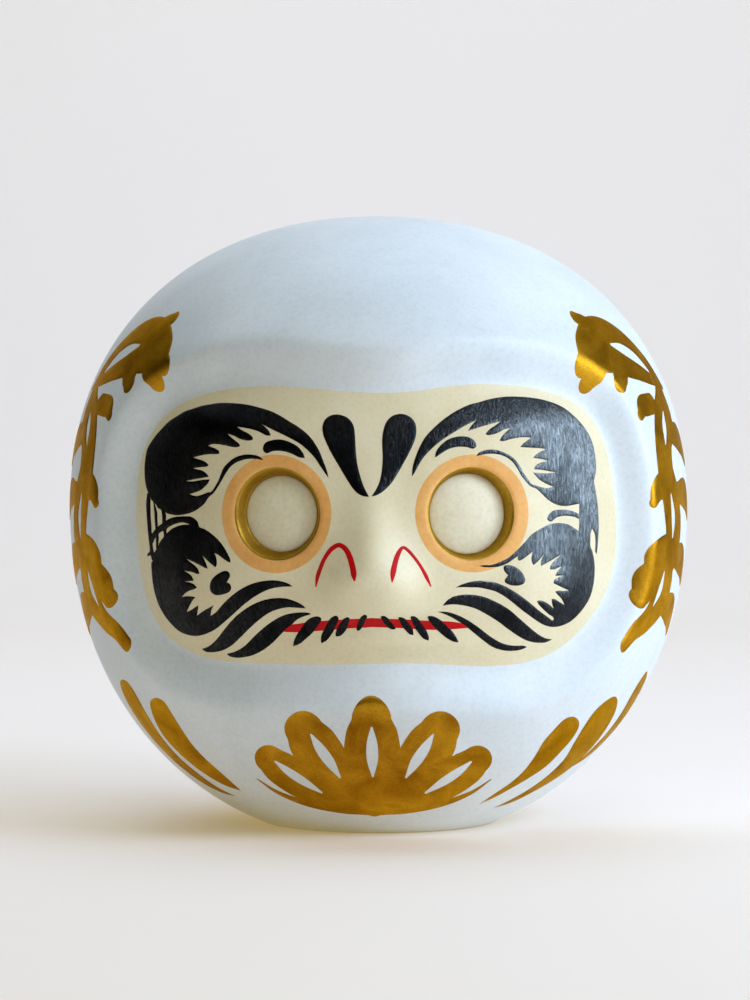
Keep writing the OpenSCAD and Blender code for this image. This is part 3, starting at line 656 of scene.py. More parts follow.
def film(name, loops, holes=(), low=0.0, high=0.15, edge=0.7, grid=1.1, mat=None, slot=None, replaces=(), under=0.06,
         wave=0.0):
    """A layer of paint over the union of the loops: a closed solid that follows the surface, with a rounded edge."""
    loops, holes = [np.asarray(l) for l in loops], [np.asarray(h) for h in holes]
    pts, eds = [], []
    for l in loops + holes:
        eds += loop_edges(len(pts), len(l))
        pts += l.tolist()
    P, T = cdt(pts, eds)
    c = P[T].mean(1)
    T = T[in_any(c, loops) & ~in_any(c, holes)]
    # the outer edge of the paint is made of the edges that one triangle has
    count = {}
    for t in T:
        for a, b in ((t[0], t[1]), (t[1], t[2]), (t[2], t[0])):
            k = (min(a, b), max(a, b))
            count[k] = count.get(k, 0) + 1
    rim = [k for k, n in count.items() if n == 1]
    line = []
    for a, b in rim:
        m = max(1, int(math.hypot(*(P[b] - P[a])) / 0.15))
        for j in range(m):
            line.append(P[a] + (P[b] - P[a]) * j / m)
    line = np.array(line)
    tree = KDTree(len(line))
    for i, q in enumerate(line):
        tree.insert((q[0], q[1], 0), i)
    tree.balance()

    def dist(q):
        return np.array([tree.find((x, y, 0))[2] for x, y in q]) if len(q) else np.zeros(0)

    # new points: two rows beside the edge, and a grid inside
    cand = []
    for a, b in rim:
        m = (P[a] + P[b]) / 2
        d = P[b] - P[a]
        L = math.hypot(*d)
        if L < 1e-6:
            continue
        nrm = np.array([-d[1], d[0]]) / L
        for w in (edge * 0.3, edge * 0.75):
            cand += [m + nrm * w, m - nrm * w]
    cand = np.array(cand)
    dd = dist(cand)
    want = np.tile(np.repeat([edge * 0.3, edge * 0.75], 2), len(cand) // 4 + 1)[:len(cand)]
    cand = cand[dd > want * 0.93]
    lo, hi = P.min(0), P.max(0)
    gx, gy = np.meshgrid(np.arange(lo[0], hi[0], grid), np.arange(lo[1], hi[1], grid * 0.866))
    gx[1::2] += grid / 2
    g = np.stack([gx.ravel(), gy.ravel()], 1)
    g = g[in_any(g, loops) & ~in_any(g, holes)]
    g = g[dist(g) > edge * 1.2]
    cand = cand[in_any(cand, loops) & ~in_any(cand, holes)]
    used = sorted({i for e in rim for i in e})
    new = {o: i for i, o in enumerate(used)}
    pts2 = np.vstack([P[used], cand, g])
    Q, T = cdt(pts2, [(new[a], new[b]) for a, b in rim])
    c = Q[T].mean(1)
    T = T[in_any(c, loops) & ~in_any(c, holes)]
    area = ((Q[T[:, 1], 0] - Q[T[:, 0], 0]) * (Q[T[:, 2], 1] - Q[T[:, 0], 1])
            - (Q[T[:, 1], 1] - Q[T[:, 0], 1]) * (Q[T[:, 2], 0] - Q[T[:, 0], 0]))
    T[area < 0] = T[area < 0][:, ::-1]
    keep = np.unique(T)
    back = -np.ones(len(Q), int)
    back[keep] = np.arange(len(keep))
    Q, T = Q[keep], back[T]
    n = len(Q)
    d = dist(Q)
    u = np.clip(d / edge, 0, 1)
    h = low + (high - low) * np.sqrt(np.clip(1 - (1 - u) ** 2, 0, 1))
    if wave:
        h = h + wave * u * (np.sin(Q[:, 0] * 0.9 + Q[:, 1] * 2.3) + np.sin(Q[:, 0] * 2.1 - Q[:, 1] * 0.7 + 1.3))
    S, Z = Q[:, 0], Q[:, 1]
    base_p, base_n = place(S, Z), normal(S, Z)
    top = base_p + base_n * h[:, None]
    bot = base_p - base_n * under
    near = np.array([line[tree.find((x, y, 0))[1]] for x, y in Q])
    away = base_p - place(near[:, 0], near[:, 1])
    away -= (away * base_n).sum(1, keepdims=True) * base_n
    away /= np.maximum(np.linalg.norm(away, axis=1, keepdims=True), 1e-6)
    slope = np.where(u < 1, (high - low) * (1 - u) / np.maximum(np.sqrt(np.clip(1 - (1 - u) ** 2, 0, 1)), 0.25) / edge, 0)
    nn = base_n - away * slope[:, None]
    nn /= np.linalg.norm(nn, axis=1, keepdims=True)
    # side walls
    count = {}
    for t in T:
        for a, b in ((t[0], t[1]), (t[1], t[2]), (t[2], t[0])):
            count[(a, b)] = 1
    walls = [(a, b) for (a, b) in count if (b, a) not in count]
    faces = T.tolist() + (T[:, ::-1] + n).tolist()
    for a, b in walls:
        faces += [(b, a, a + n), (b, a + n, b + n)]
    allp = np.vstack([top, bot])
    norm = np.vstack([nn, -base_n])
    return mesh(name, allp, faces, norm, mat, slot, replaces)


# ---------------------------------------------------------------- the two moulded halves
S90 = UNROLL * math.pi / 2
NC = 117                       # columns across one half


def wall_at(z):
    return 0.7 + 1.8 * smooth(8.0, 13.0, z)


def socket_axis(side):
    return normal(np.array(SOCK_C[side]), np.array(SOCK_Z), 6.0)


def socket_point(side, rho, phi, dep):
    """A point in a socket: rho from its centre line, phi round it, dep below the rim."""
    s, z = SOCK_C[side] + SOCK_W * rho * np.cos(phi), SOCK_Z + SOCK_H * rho * np.sin(phi)
    return place(s, z) - np.asarray(dep)[..., None] * socket_axis(side)


def fit_below(rho, dep):
    """Depth measured from the unrounded surface, given that place() already falls at the rim."""
    t = np.clip((RIM_OUT - rho) / (RIM_OUT - RIM_IN), 0.0, 1.4)
    return dep - 0.6 * t * t


SOCKET_WALL = [(16.5, 0.6), (16.1, 1.05), (15.75, 1.7), (15.3, 2.6), (14.85, 3.5), (14.4, 4.4), (14.1, 5.0),
               (13.85, 5.35), (13.5, 5.5)]


def spread(side, rho):
    """The socket floors are wider than the drawing of the wall, the right one more."""
    return rho + (0.3 if side < 0 else 1.1) * min(max((16.3 - rho) / 2.8, 0.0), rho / 13.0, 1.0)


def inner_off(s, z):
    """How far the inside of the wall lies below the outside."""
    return wall_at(z) + 6.4 * smooth(27.0, 16.5, sock_rho(s, z))


def half(name, back):
    cols = np.linspace(-S90, S90, NC)
    rows = np.arange(0, V_TOP - 1.2, 3.0)
    rows = np.append(rows, V_TOP - 1.3)
    nr = len(rows)
    if back:
        cols = cols + 2 * S90
        S, V = np.meshgrid(cols, rows)
        Q = np.stack([S.ravel(), V.ravel()], 1)
        T = []
        for j in range(nr - 1):
            for i in range(NC - 1):
                a = j * NC + i
                T += [(a, a + 1, a + 1 + NC), (a, a + 1 + NC, a + NC)]
        T = np.array(T)
        rim_ids = [i for i in range(NC)] + [j * NC + NC - 1 for j in range(1, nr)]
        left_ids = [j * NC for j in range(nr)]
        bottom = list(range(NC))
        right = [j * NC + NC - 1 for j in range(nr)]
        left = [j * NC for j in range(nr)]
        top = [(nr - 1) * NC + i for i in range(NC)]
    else:
        pts = [(x, 0.0) for x in cols]
        bottom = list(range(NC))
        right = [NC - 1]
        for v in rows[1:]:
            right.append(len(pts))
            pts.append((cols[-1], v))
        top = [right[-1]]
        for x in cols[-2::-1]:
            top.append(len(pts))
            pts.append((x, rows[-1]))
        left = [top[-1]]
        for v in rows[-2:0:-1]:
            left.append(len(pts))
            pts.append((cols[0], v))
        left.append(0)
        left = left[::-1]
        top = top[::-1]
        n = len(pts)
        edges = loop_edges(0, n)
        nsock = 140
        for side in (-1, 1):
            r = ring(SOCK_C[side], SOCK_Z, RIM_IN * SOCK_W, RIM_IN * SOCK_H, nsock)
            edges += loop_edges(len(pts), nsock)
            pts += [(a, float(v_of(b))) for a, b in r]
            for rr, m in ((RIM_IN + 0.35, 140), (RIM_IN + 0.8, 140), (RIM_IN + 1.4, 130), (RIM_IN + 2.1, 120)):
                pts += [(a, float(v_of(b))) for a, b in ring(SOCK_C[side], SOCK_Z, rr * SOCK_W, rr * SOCK_H, m)]
        # a fine grid over the face, a coarser one elsewhere
        fine = 1.15
        gx, gy = np.meshgrid(np.arange(-S90 + 2, S90 - 1, fine), np.arange(1.5, rows[-1] - 1.2, fine * 0.866))
        gx[1::2] += fine / 2
        e = table(gx, z_of(gy))
        rho = sock_rho(gx, z_of(gy))
        ok = (e < 19) & (rho > RIM_IN + 2.7)
        pts += np.stack([gx[ok], gy[ok]], 1).tolist()
        gx, gy = np.meshgrid(np.arange(-S90 + 2.4, S90 - 2, 3.1), np.arange(2.4, rows[-1] - 2, 2.7))
        gx[1::2] += 1.5
        e = table(gx, z_of(gy))
        ok = e >= 20.5
        pts += np.stack([gx[ok], gy[ok]], 1).tolist()
        Q, T = cdt(pts, edges)
        c = Q[T].mean(1)
        cz = z_of(c[:, 1])
        hole = sock_rho(c[:, 0], cz) < RIM_IN * 0.9995
        T = T[~hole]
        area = ((Q[T[:, 1], 0] - Q[T[:, 0], 0]) * (Q[T[:, 2], 1] - Q[T[:, 0], 1])
                - (Q[T[:, 1], 1] - Q[T[:, 0], 1]) * (Q[T[:, 2], 0] - Q[T[:, 0], 0]))
        T[area < 0] = T[area < 0][:, ::-1]
    S, Z = Q[:, 0], z_of(Q[:, 1])
    P, N = place(S, Z), normal(S, Z)
    faces = T.tolist()
    points, normals = P.tolist(), N.tolist()
    if back:
        order = range(NC - 1)
    crown = len(points)
    points.append((0, 0, BELLY_Z + CROWN_H))
    normals.append((0, 0, 1))
    for a, b in zip(top[:-1], top[1:]):
        faces.append((a, b, crown))
    nan = (float("nan"),) * 3
    # socket walls
    if not back:
        for side in (-1, 1):
            first = [int(i) for i in np.where((np.abs(sock_rho(S, Z) - RIM_IN) < 2e-3) & (S * side > 0))[0]]
            ang = np.array([math.atan2((Z[i] - SOCK_Z) / SOCK_H, (S[i] - SOCK_C[side]) / SOCK_W) for i in first])
            first = [first[k] for k in np.argsort(ang)]
            ang = np.sort(ang)
            prev = first
            m = len(first)
            for rho, dep in SOCKET_WALL[1:] + [(9.0, 5.5), (4.5, 5.5)]:
                rho = spread(side, rho)
                P2 = socket_point(side, rho, ang, fit_below(rho, np.full(m, dep)))
                ids = list(range(len(points), len(points) + m))
                points += P2.tolist()
                normals += [nan] * m
                for k in range(m):
                    k2 = (k + 1) % m
                    faces.append((prev[k], ids[k], ids[k2], prev[k2]))
                prev = ids
            mid = len(points)
            points.append(socket_point(side, np.array(0.0), 0.0, np.array(fit_below(0.0, 5.5))).tolist())
            normals.append(nan)
            for k in range(m):
                faces.append((prev[k], mid, prev[(k + 1) % m]))
    # inside
    S, V = np.meshgrid(cols, rows)
    Zi = z_of(V)
    I = place(S, Zi, -inner_off(S, Zi))
    b0 = len(points)
    points += I.reshape(-1, 3).tolist()
    normals += [nan] * (nr * NC)
    for j in range(nr - 1):
        for i in range(NC - 1):
            a = b0 + j * NC + i
            faces.append((a, a + NC, a + 1 + NC, a + 1))
    crown_in = len(points)
    points.append((0, 0, BELLY_Z + CROWN_H - 2.5))
    normals.append(nan)
    for i in range(NC - 1):
        a = b0 + (nr - 1) * NC + i
        faces.append((a + 1, a, crown_in))
    # rims between outside and inside
    inb = [b0 + i for i in range(NC)]
    inr = [b0 + j * NC + NC - 1 for j in range(nr)]
    inl = [b0 + j * NC for j in range(nr)]
    for a, b, c, d in zip(bottom[:-1], bottom[1:], inb[1:], inb[:-1]):
        faces.append((b, a, d, c))
    for a, b, c, d in zip(right[:-1], right[1:], inr[1:], inr[:-1]):
        faces.append((b, a, d, c))
    for a, b, c, d in zip(left[:-1], left[1:], inl[1:], inl[:-1]):
        faces.append((a, b, c, d))
    faces.append((crown, right[-1], inr[-1], crown_in))
    faces.append((left[-1], crown, crown_in, inl[-1]))
    return mesh(name, points, faces, normals, M["gofun"], "white_gofun", ["back_shell" if back else "front_shell"])


def lathe(name, profile, n=144, **kw):
    """A closed turned piece about the Z axis; the profile starts and ends on the axis."""
    pts, faces = [], []
    rings = []
    for r, z in profile:
        if r < 1e-6:
            rings.append([len(pts)])
            pts.append((0, 0, z))
        else:
            rings.append(list(range(len(pts), len(pts) + n)))
            pts += [(r * math.cos(2 * math.pi * i / n), r * math.sin(2 * math.pi * i / n), z) for i in range(n)]
    for a, b in zip(rings[:-1], rings[1:]):
        for i in range(n):
            j = (i + 1) % n
            if len(a) == 1:
                faces.append((a[0], b[j], b[i]))
            elif len(b) == 1:
                faces.append((a[i], a[j], b[0]))
            else:
                faces.append((a[i], a[j], b[j], b[i]))
    return mesh(name, pts, faces, **kw)


def socket_lathe(name, side, profile, n=140, **kw):
    """A closed piece turned about a socket, from (radius, depth) pairs in order; ends on the axis or joins up."""
    ang = np.linspace(-math.pi, math.pi, n, endpoint=False)
    pts, faces, rings = [], [], []
    for r, d in profile:
        if r < 1e-6:
            rings.append([len(pts)])
            pts.append(socket_point(side, np.array(0.0), 0.0, np.array(fit_below(0.0, d))).tolist())
        else:
            rings.append(list(range(len(pts), len(pts) + n)))
            pts += socket_point(side, r, ang, fit_below(r, np.full(n, d))).tolist()
    pairs = list(zip(rings[:-1], rings[1:]))
    if len(rings[0]) > 1:
        pairs.append((rings[-1], rings[0]))
    for a, b in pairs:
        for i in range(n):
            j = (i + 1) % n
            if len(a) == 1:
                faces.append((a[0], b[i], b[j]))
            elif len(b) == 1:
                faces.append((a[j], a[i], b[0]))
            else:
                faces.append((a[j], a[i], b[i], b[j]))
    return mesh(name, pts, faces, **kw)


# ---------------------------------------------------------------- materials
class Look:
    """A small helper for node materials. Constant values go on the sockets themselves."""

    def __init__(self, name):
        self.m = bpy.data.materials.get(name) or bpy.data.materials.new(name)
        self.m.use_nodes = True
        self.t = self.m.node_tree
        self.t.nodes.clear()
        self.out = self.add("OutputMaterial")
        self.b = self.add("BsdfPrincipled")
        self.t.links.new(self.b.outputs[0], self.out.inputs[0])
        self.where = self.add("TexCoord").outputs["Object"]
        self.bumps = None

    def add(self, kind, **props):
        n = self.t.nodes.new("ShaderNode" + kind)
        for k, v in props.items():
            setattr(n, k, v)
        return n

    def set(self, **values):
        for k, v in values.items():
            k = k.replace("_", " ")
            s = self.b.inputs[k]
            if isinstance(v, bpy.types.NodeSocket):
                self.t.links.new(v, s)
            elif isinstance(v, tuple):
                s.default_value = (*v, 1.0)
            else:
                s.default_value = v

    def stretched(self, x, y, z, turn=(0, 0, 0)):
        n = self.add("Mapping")
        n.inputs["Scale"].default_value = (x, y, z)
        n.inputs["Rotation"].default_value = [math.radians(t) for t in turn]
        self.t.links.new(self.where, n.inputs["Vector"])
        return n.outputs[0]

    def noise(self, scale, detail=4.0, rough=0.55, twist=0.0, at=None):
        n = self.add("TexNoise")
        n.inputs["Scale"].default_value = scale
        n.inputs["Detail"].default_value = detail
        n.inputs["Roughness"].default_value = rough
        n.inputs["Distortion"].default_value = twist
        self.t.links.new(at or self.where, n.inputs["Vector"])
        return n.outputs[0]

    def grains(self, scale, at=None):
        n = self.add("TexVoronoi")
        n.inputs["Scale"].default_value = scale
        self.t.links.new(at or self.where, n.inputs["Vector"])
        return n.outputs["Color"], n.outputs["Distance"]

    def ramp(self, fac, *stops):
        n = self.add("ValToRGB")
        r = n.color_ramp
        while len(r.elements) < len(stops):
            r.elements.new(0.5)
        for e, (p, c) in zip(r.elements, stops):
            e.position = p
            e.color = (*c, 1.0) if isinstance(c, tuple) else (c, c, c, 1.0)
        self.t.links.new(fac, n.inputs[0])
        return n.outputs[0]

    def span(self, fac, a, b, c, d):
        n = self.add("MapRange")
        for k, v in zip(("From Min", "From Max", "To Min", "To Max"), (a, b, c, d)):
            n.inputs[k].default_value = v
        self.t.links.new(fac, n.inputs["Value"])
        return n.outputs[0]

    def mix(self, kind, fac, a, b):
        n = self.add("Mix", data_type="RGBA", blend_type=kind)
        for s, v in ((n.inputs[0], fac), (n.inputs[6], a), (n.inputs[7], b)):
            if isinstance(v, bpy.types.NodeSocket):
                self.t.links.new(v, s)
            elif isinstance(v, tuple):
                s.default_value = (*v, 1.0)
            else:
                s.default_value = v
        return n.outputs[2]

    def height(self, fac, strength, distance):
        n = self.add("Bump")
        n.inputs["Strength"].default_value = strength
        n.inputs["Distance"].default_value = distance
        self.t.links.new(fac, n.inputs["Height"])
        if self.bumps:
            self.t.links.new(self.bumps, n.inputs["Normal"])
        self.bumps = n.outputs[0]
        self.t.links.new(self.bumps, self.b.inputs["Normal"])


def gofun():
    k = Look("gofun_white")
    cloud = k.noise(26, 5, 0.55, 0.4)
    tone = k.ramp(cloud, (0.36, (0.725, 0.795, 0.820)), (0.62, (0.800, 0.862, 0.885)))
    dust = k.noise(620, 3, 0.6)
    speck = k.ramp(dust, (0.30, (0.93, 0.93, 0.92)), (0.55, (1.0, 1.0, 1.0)))
    k.set(Base_Color=k.mix("MULTIPLY", 1.0, tone, speck))
    k.set(Roughness=k.span(k.noise(75, 5, 0.6), 0.3, 0.7, 0.40, 0.52), IOR=1.45, Coat_Weight=0.12, Coat_Roughness=0.30)
    k.height(k.noise(32, 3, 0.5), 0.35, 0.0011)
    k.height(k.noise(90, 6, 0.6, 0.3, k.stretched(1, 1, 3.2)), 0.10, 0.0006)
    k.height(k.noise(1500, 3, 0.6), 0.055, 0.0003)
    return k.m


def cream():
    k = Look("cream_ground")
    tone = k.ramp(k.noise(30, 5, 0.6, 0.5), (0.34, (0.815, 0.718, 0.450)), (0.64, (0.875, 0.793, 0.545)))
    speck = k.ramp(k.noise(700, 3, 0.6), (0.30, (0.94, 0.93, 0.90)), (0.55, (1.0, 1.0, 1.0)))
    k.set(Base_Color=k.mix("MULTIPLY", 1.0, tone, speck))
    k.set(Roughness=k.span(k.noise(90, 5, 0.6), 0.3, 0.7, 0.44, 0.56), IOR=1.45, Coat_Weight=0.06, Coat_Roughness=0.35)
    k.height(k.noise(60, 4, 0.5), 0.20, 0.0006)
    k.height(k.noise(420, 5, 0.6, 0.2, k.stretched(0.35, 1, 1)), 0.06, 0.0003)
    return k.m


def black():
    k = Look("black_lacquer")
    tone = k.ramp(k.noise(260, 5, 0.6), (0.35, (0.0006, 0.0006, 0.0008)), (0.70, (0.002, 0.002, 0.0025)))
    brushed = k.noise(900, 6, 0.75, 0.6, k.stretched(1.5, 1.5, 0.30, (0, 32, 0)))
    patches = k.noise(75, 5, 0.65, 0.4)
    shine = k.mix("MULTIPLY", 1.0, k.ramp(brushed, (0.38, 0.12), (0.62, 1.0)), k.ramp(patches, (0.36, 0.35), (0.60, 1.0)))
    k.set(Base_Color=tone, Roughness=k.span(brushed, 0.3, 0.7, 0.36, 0.18), IOR=1.5,
          Specular_IOR_Level=k.span(shine, 0.0, 1.0, 0.02, 0.26))
    k.height(k.noise(55, 4, 0.6, 0.5), 0.25, 0.0012)
    k.height(brushed, 0.55, 0.0004)
    k.height(k.noise(2000, 3, 0.7), 0.35, 0.0002)
    return k.m


def gold(name="gold_paint", dark=(0.30, 0.125, 0.004), light=(0.62, 0.320, 0.018), metal=1.0, rough=(0.34, 0.52)):
    k = Look(name)
    flakes, _ = k.grains(2600)
    pool = k.noise(55, 5, 0.6, 0.6)
    tone = k.ramp(pool, (0.30, dark), (0.68, light))
    grain = k.ramp(flakes, (0.0, (0.78, 0.76, 0.70)), (1.0, (1.12, 1.12, 1.12)))
    k.set(Base_Color=k.mix("MULTIPLY", 1.0, tone, grain), Metallic=metal, Specular_Tint=(1.0, 0.82, 0.45),
          Roughness=k.span(k.noise(110, 5, 0.6), 0.3, 0.7, *rough))
    k.height(k.noise(140, 5, 0.6, 0.5, k.stretched(1, 1, 2.5)), 0.18, 0.0006)
    k.height(k.noise(1900, 4, 0.7), 0.25, 0.0002)
    return k.m


def paint(name, dark, light, rough, fleck=600, gloss=0.5):
    k = Look(name)
    tone = k.ramp(k.noise(70, 5, 0.6, 0.4), (0.32, dark), (0.66, light))
    speck = k.ramp(k.noise(fleck, 3, 0.6), (0.30, (0.90, 0.90, 0.88)), (0.58, (1.0, 1.0, 1.0)))
    k.set(Base_Color=k.mix("MULTIPLY", 1.0, tone, speck), Roughness=k.span(k.noise(150, 4, 0.6), 0.3, 0.7, *rough),
          Specular_IOR_Level=gloss)
    k.height(k.noise(210, 5, 0.6, 0.3), 0.14, 0.0004)
    k.height(k.noise(1300, 3, 0.6), 0.08, 0.0002)
    return k.m


def paper(name, dark, light):
    k = Look(name)
    tone = k.ramp(k.noise(120, 6, 0.6, 0.6), (0.30, dark), (0.70, light))
    fibres = k.ramp(k.noise(500, 5, 0.7, 2.0, k.stretched(1, 0.15, 1)), (0.35, (0.86, 0.84, 0.80)), (0.60, (1, 1, 1)))
    k.set(Base_Color=k.mix("MULTIPLY", 1.0, tone, fibres), Roughness=k.span(k.noise(200, 3, 0.5), 0.3, 0.7, 0.75, 0.95))
    k.height(k.noise(380, 6, 0.65, 1.0), 0.35, 0.0005)
    return k.m


def clay():
    k = Look("dried_clay_look")
    tone = k.ramp(k.noise(45, 6, 0.65, 0.3), (0.30, (0.23, 0.145, 0.095)), (0.70, (0.40, 0.275, 0.190)))
    grit = k.ramp(k.noise(900, 4, 0.7), (0.34, (0.72, 0.70, 0.68)), (0.60, (1, 1, 1)))
    k.set(Base_Color=k.mix("MULTIPLY", 1.0, tone, grit), Roughness=k.span(k.noise(300, 3, 0.5), 0.3, 0.7, 0.80, 0.97))
    k.height(k.noise(160, 7, 0.7, 0.4), 0.6, 0.0010)
    return k.m


M = {
    "gofun": gofun(),
    "cream": cream(),
    "black": black(),
    "gold": gold(),
    "wall": gold("socket_gold", (0.34, 0.190, 0.014), (0.60, 0.370, 0.050), 0.9, (0.36, 0.50)),
    "orange": paint("orange_ring", (0.86, 0.410, 0.095), (0.95, 0.510, 0.150), (0.55, 0.66)),
    "red": paint("red_line", (0.50, 0.001, 0.003), (0.68, 0.004, 0.007), (0.45, 0.60), gloss=0.15),
    "chalk": paint("eye_chalk_look", (0.830, 0.755, 0.520), (0.900, 0.845, 0.620), (0.42, 0.54)),
    "clay": clay(),
    "sheet": paper("base_sheet_look", (0.42, 0.33, 0.22), (0.60, 0.50, 0.37)),
    "strip": paper("seam_paper_look", (0.55, 0.50, 0.42), (0.74, 0.70, 0.62)),
}


# ---------------------------------------------------------------- the pieces
half("front_skin", False)
half("back_skin", True)

# the dried clay weight: a foot that follows the body, and a plug that stands inside the shell
foot = []
for z in (0.9, 1.6, 2.6, 3.8, 5.0, 6.2, 7.2):
    r, nr, nz = base(z)
    foot.append((float(r - 0.95 * nr), float(z - 0.95 * nz)))
lathe("clay_weight", [(0, 0.3), (20, 0.3), (41.5, 0.3), (43.6, 0.36), (44.3, 0.8)] + foot
      + [(56.6, 8.6), (55.2, 9.0), (54.8, 10.0), (54.8, 24.4), (54.0, 25.9), (52.2, 27.2), (50, 27.9), (36, 28.0),
         (12, 28.2), (0, 28.2)], mat=M["clay"], slot="dried_clay", replaces=["base_weight"])
for node, look in (("base_paper", "sheet"), ("seam_strip", "strip")):
    ob = frame["nodes"][node]
    ob.data.materials.clear()
    ob.data.materials.append(M[look])

# the gold lining of each socket and the blank eye on its floor
for side, word in ((-1, "left"), (1, "right")):
    lining = [(16.9, 0.42), (16.55, 0.50), (16.2, 0.74), (15.75, 1.35), (15.25, 2.35), (14.75, 3.35), (14.25, 4.4),
              (13.85, 5.05), (13.6, 5.2), (13.5, 5.62), (14.2, 5.6), (14.9, 4.4), (15.9, 2.3), (16.5, 1.1), (16.95, 0.75)]
    lining = [(spread(side, a), b) for a, b in lining]
    socket_lathe(word + "_socket_lining", side, lining, mat=M["wall"], slot="paint_gold", replaces=[word + "_socket_coat"])
    eye = [(0, 3.75), (2.5, 3.78), (5, 3.90), (7.5, 4.12), (9.5, 4.38), (11.3, 4.70), (12.5, 4.95), (13.1, 5.12),
           (13.42, 5.30), (13.5, 5.46), (13.4, 5.56), (0, 5.58)]
    eye = [(spread(side, a), b) for a, b in eye]
    socket_lathe(word + "_eye", side, eye, mat=M["chalk"], slot="eye_chalk", replaces=[word + "_eye_dome"])

sockets = [ring(SOCK_C[k], SOCK_Z, (RIM_IN + 0.25) * SOCK_W, (RIM_IN + 0.25) * SOCK_H, 150) for k in (-1, 1)]
film("cream_ground", [closed_curve(FACE_EDGE, 1.2)], sockets, 0.0, 0.11, edge=0.9, grid=1.25,
     mat=M["cream"], slot="face_cream", replaces=["face_ground"])
C = {k: closed_curve(v, 0.55) for k, v in SHAPES.items()}
film("orange_rings", [ring(-34.7, 120.0, 20.9, 22.1, 150), ring(37.0, 120.2, 21.4, 22.0, 150)], sockets, 0.12, 0.23,
     edge=0.6, grid=1.3, mat=M["orange"], slot="ring_orange", replaces=["eye_rings"])
film("black_brows", [C[k] for k in ("brow_left", "strand_left_1", "strand_left_2", "strand_left_3", "hook_left",
                                    "lash_left", "brow_right", "lash_right")], sockets, 0.12, 0.36, edge=0.75,
     grid=1.2, mat=M["black"], slot="lacquer_black", replaces=["brow_strokes"], wave=0.012)
film("black_beard", [C[k] for k in ("cheek_left", "whisker_left_2", "whisker_left_3", "heart_left", "heart_right",
                                    "whisker_right_2", "whisker_right_3")], (), 0.12, 0.36, edge=0.75, grid=1.2,
     mat=M["black"], slot="lacquer_black", replaces=["beard_strokes"], wave=0.012)
film("black_drops", [C["drop_left"], C["drop_right"]], (), 0.12, 0.38, edge=0.9, grid=1.2, mat=M["black"],
     slot="lacquer_black", replaces=["forehead_drops"], wave=0.012)
film("red_mouth", [C["mouth"]], (), 0.11, 0.26, edge=0.7, grid=0.9, mat=M["red"], slot="paint_red",
     replaces=["mouth_line"])
film("black_ticks", [C[k] for k in C if k.startswith("tick")], (), 0.13, 0.42, edge=0.7, grid=0.9, mat=M["black"],
     slot="lacquer_black", replaces=["mouth_ticks"])
film("red_nostrils", [stroke([(s, z, 1.25 * w) for s, z, w in LINES[k]], 0.4) for k in LINES], (), 0.11, 0.26, edge=0.5, grid=0.8, mat=M["red"],
     slot="paint_red", replaces=["nostril_lines"])
film("gold_front", [from_front(stroke(p), k) for p in PETALS for k in (-1, 1)],
     [from_front(stroke(p, 0.4), k) for p in PETAL_HOLES for k in (-1, 1)], 0.0, 0.20, edge=0.9, grid=1.4, mat=M["gold"], slot="paint_gold", replaces=["gold_front_lotus"], wave=0.012)
film("gold_vines", [stroke([(k * s, z, w) for s, z, w in p]) for p in VINE for k in (-1, 1)],
     [stroke([(k * s, z, w) for s, z, w in p], 0.4) for p in VINE_HOLES for k in (-1, 1)], 0.0, 0.20, edge=0.9,
     grid=1.4, mat=M["gold"], slot="paint_gold", replaces=["gold_side_vines"], wave=0.012)
film("gold_folds", [C[k] for k in C if k.startswith("pleat")], (), 0.0, 0.20, edge=0.9, grid=1.4, mat=M["gold"],
     slot="paint_gold", replaces=["gold_pleats"], wave=0.012)

# ---------------------------------------------------------------- stage, light, camera
def pale(name, colour, rough=0.9):
    k = Look(name)
    k.set(Base_Color=k.ramp(k.noise(2.0, 2, 0.5), (0.3, tuple(c * 0.99 for c in colour)), (0.7, colour)),
          Roughness=rough, Emission_Color=(1.0, 0.70, 0.27), Emission_Strength=0.21)
    return k.m


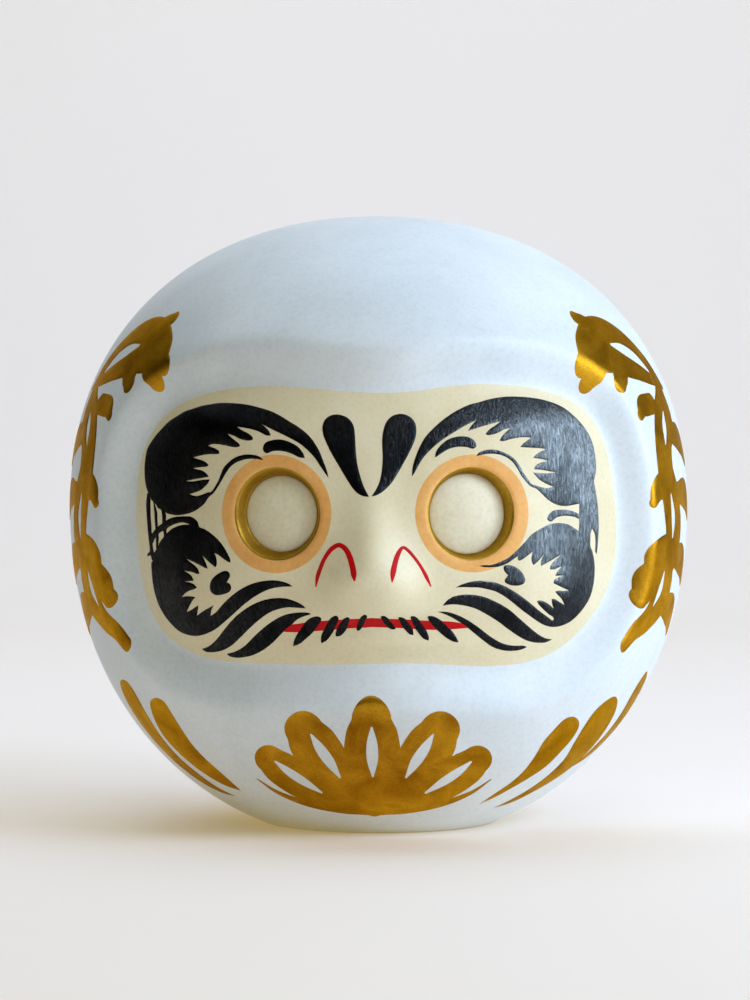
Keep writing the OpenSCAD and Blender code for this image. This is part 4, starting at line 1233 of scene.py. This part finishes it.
sweep = [(-1.9, 0.0), (1.6, 0.0)]
sweep += [(1.6 + 0.9 * math.sin(a), 0.9 - 0.9 * math.cos(a)) for a in np.linspace(0, math.pi / 2, 24)[1:]]
sweep += [(2.5, 4.0)]
pts, fcs = [], []
for y, z in sweep:
    pts += [(-3.2, y, z), (3.2, y, z)]
for i in range(len(sweep) - 1):
    fcs.append((2 * i, 2 * i + 1, 2 * i + 3, 2 * i + 2))
me = bpy.data.meshes.new("studio_sweep")
me.from_pydata(pts, [], fcs)
me.polygons.foreach_set("use_smooth", [True] * len(me.polygons))
me.materials.append(pale("studio_pale", (0.80, 0.80, 0.81)))
floor = bpy.data.objects.new("studio_sweep", me)
bpy.context.scene.collection.objects.link(floor)


def light(name, where, aim, size, power, colour, size_y=None):
    d = bpy.data.lights.new(name, "AREA")
    d.shape = "RECTANGLE"
    d.size, d.size_y = size, size_y or size
    d.energy = power
    d.color = colour
    o = bpy.data.objects.new(name, d)
    o.location = where
    o.rotation_euler = (Vector(aim) - Vector(where)).to_track_quat("-Z", "Y").to_euler()
    bpy.context.scene.collection.objects.link(o)
    return o


centre = (0, 0, 0.12)
light("key", (1.25, -0.95, 0.95), centre, 0.8, 14.5, (0.70, 0.78, 1.0))
light("strip", (1.45, -0.30, 0.34), centre, 0.5, 13.5, (0.66, 0.81, 1.0), 0.9)
sheen = light("sheen", (1.19, -0.17, 0.38), centre, 0.6, 120, (0.60, 0.80, 1.0), 0.9)
blacks = bpy.data.collections.new("black_strokes")
for ob in bpy.data.objects:
    if ob.name.startswith("black_"):
        blacks.objects.link(ob)
sheen.light_linking.receiver_collection = blacks
light("top", (0.0, -1.2, 1.4), centre, 1.0, 5.6, (1.0, 0.98, 0.72))
light("backdrop", (0.0, 0.9, 2.4), (0, 2.6, 0.5), 3.0, 57, (0.70, 0.81, 0.985))
world = bpy.data.worlds.new("studio")
bpy.context.scene.world = world
world.use_nodes = True
world.node_tree.nodes["Background"].inputs[0].default_value = (0.80, 0.80, 0.80, 1.0)
world.node_tree.nodes["Background"].inputs[1].default_value = 1.0
# the far walls of the studio are pale, but too far away to light the doll
for ray in ("diffuse", "glossy", "transmission", "scatter"):
    setattr(world.cycles_visibility, ray, False)
bpy.context.scene.view_settings.view_transform = "Standard"

cam = bpy.data.cameras.new("camera")
cam.sensor_fit = "AUTO"
cam.sensor_width = 36.0
cam.lens = 101.2
eye = bpy.data.objects.new("camera", cam)
eye.location = (0.0274, -1.0997, 0.125)
eye.rotation_euler = (math.radians(90), 0, math.radians(1.5))
bpy.context.scene.collection.objects.link(eye)
bpy.context.scene.camera = eye
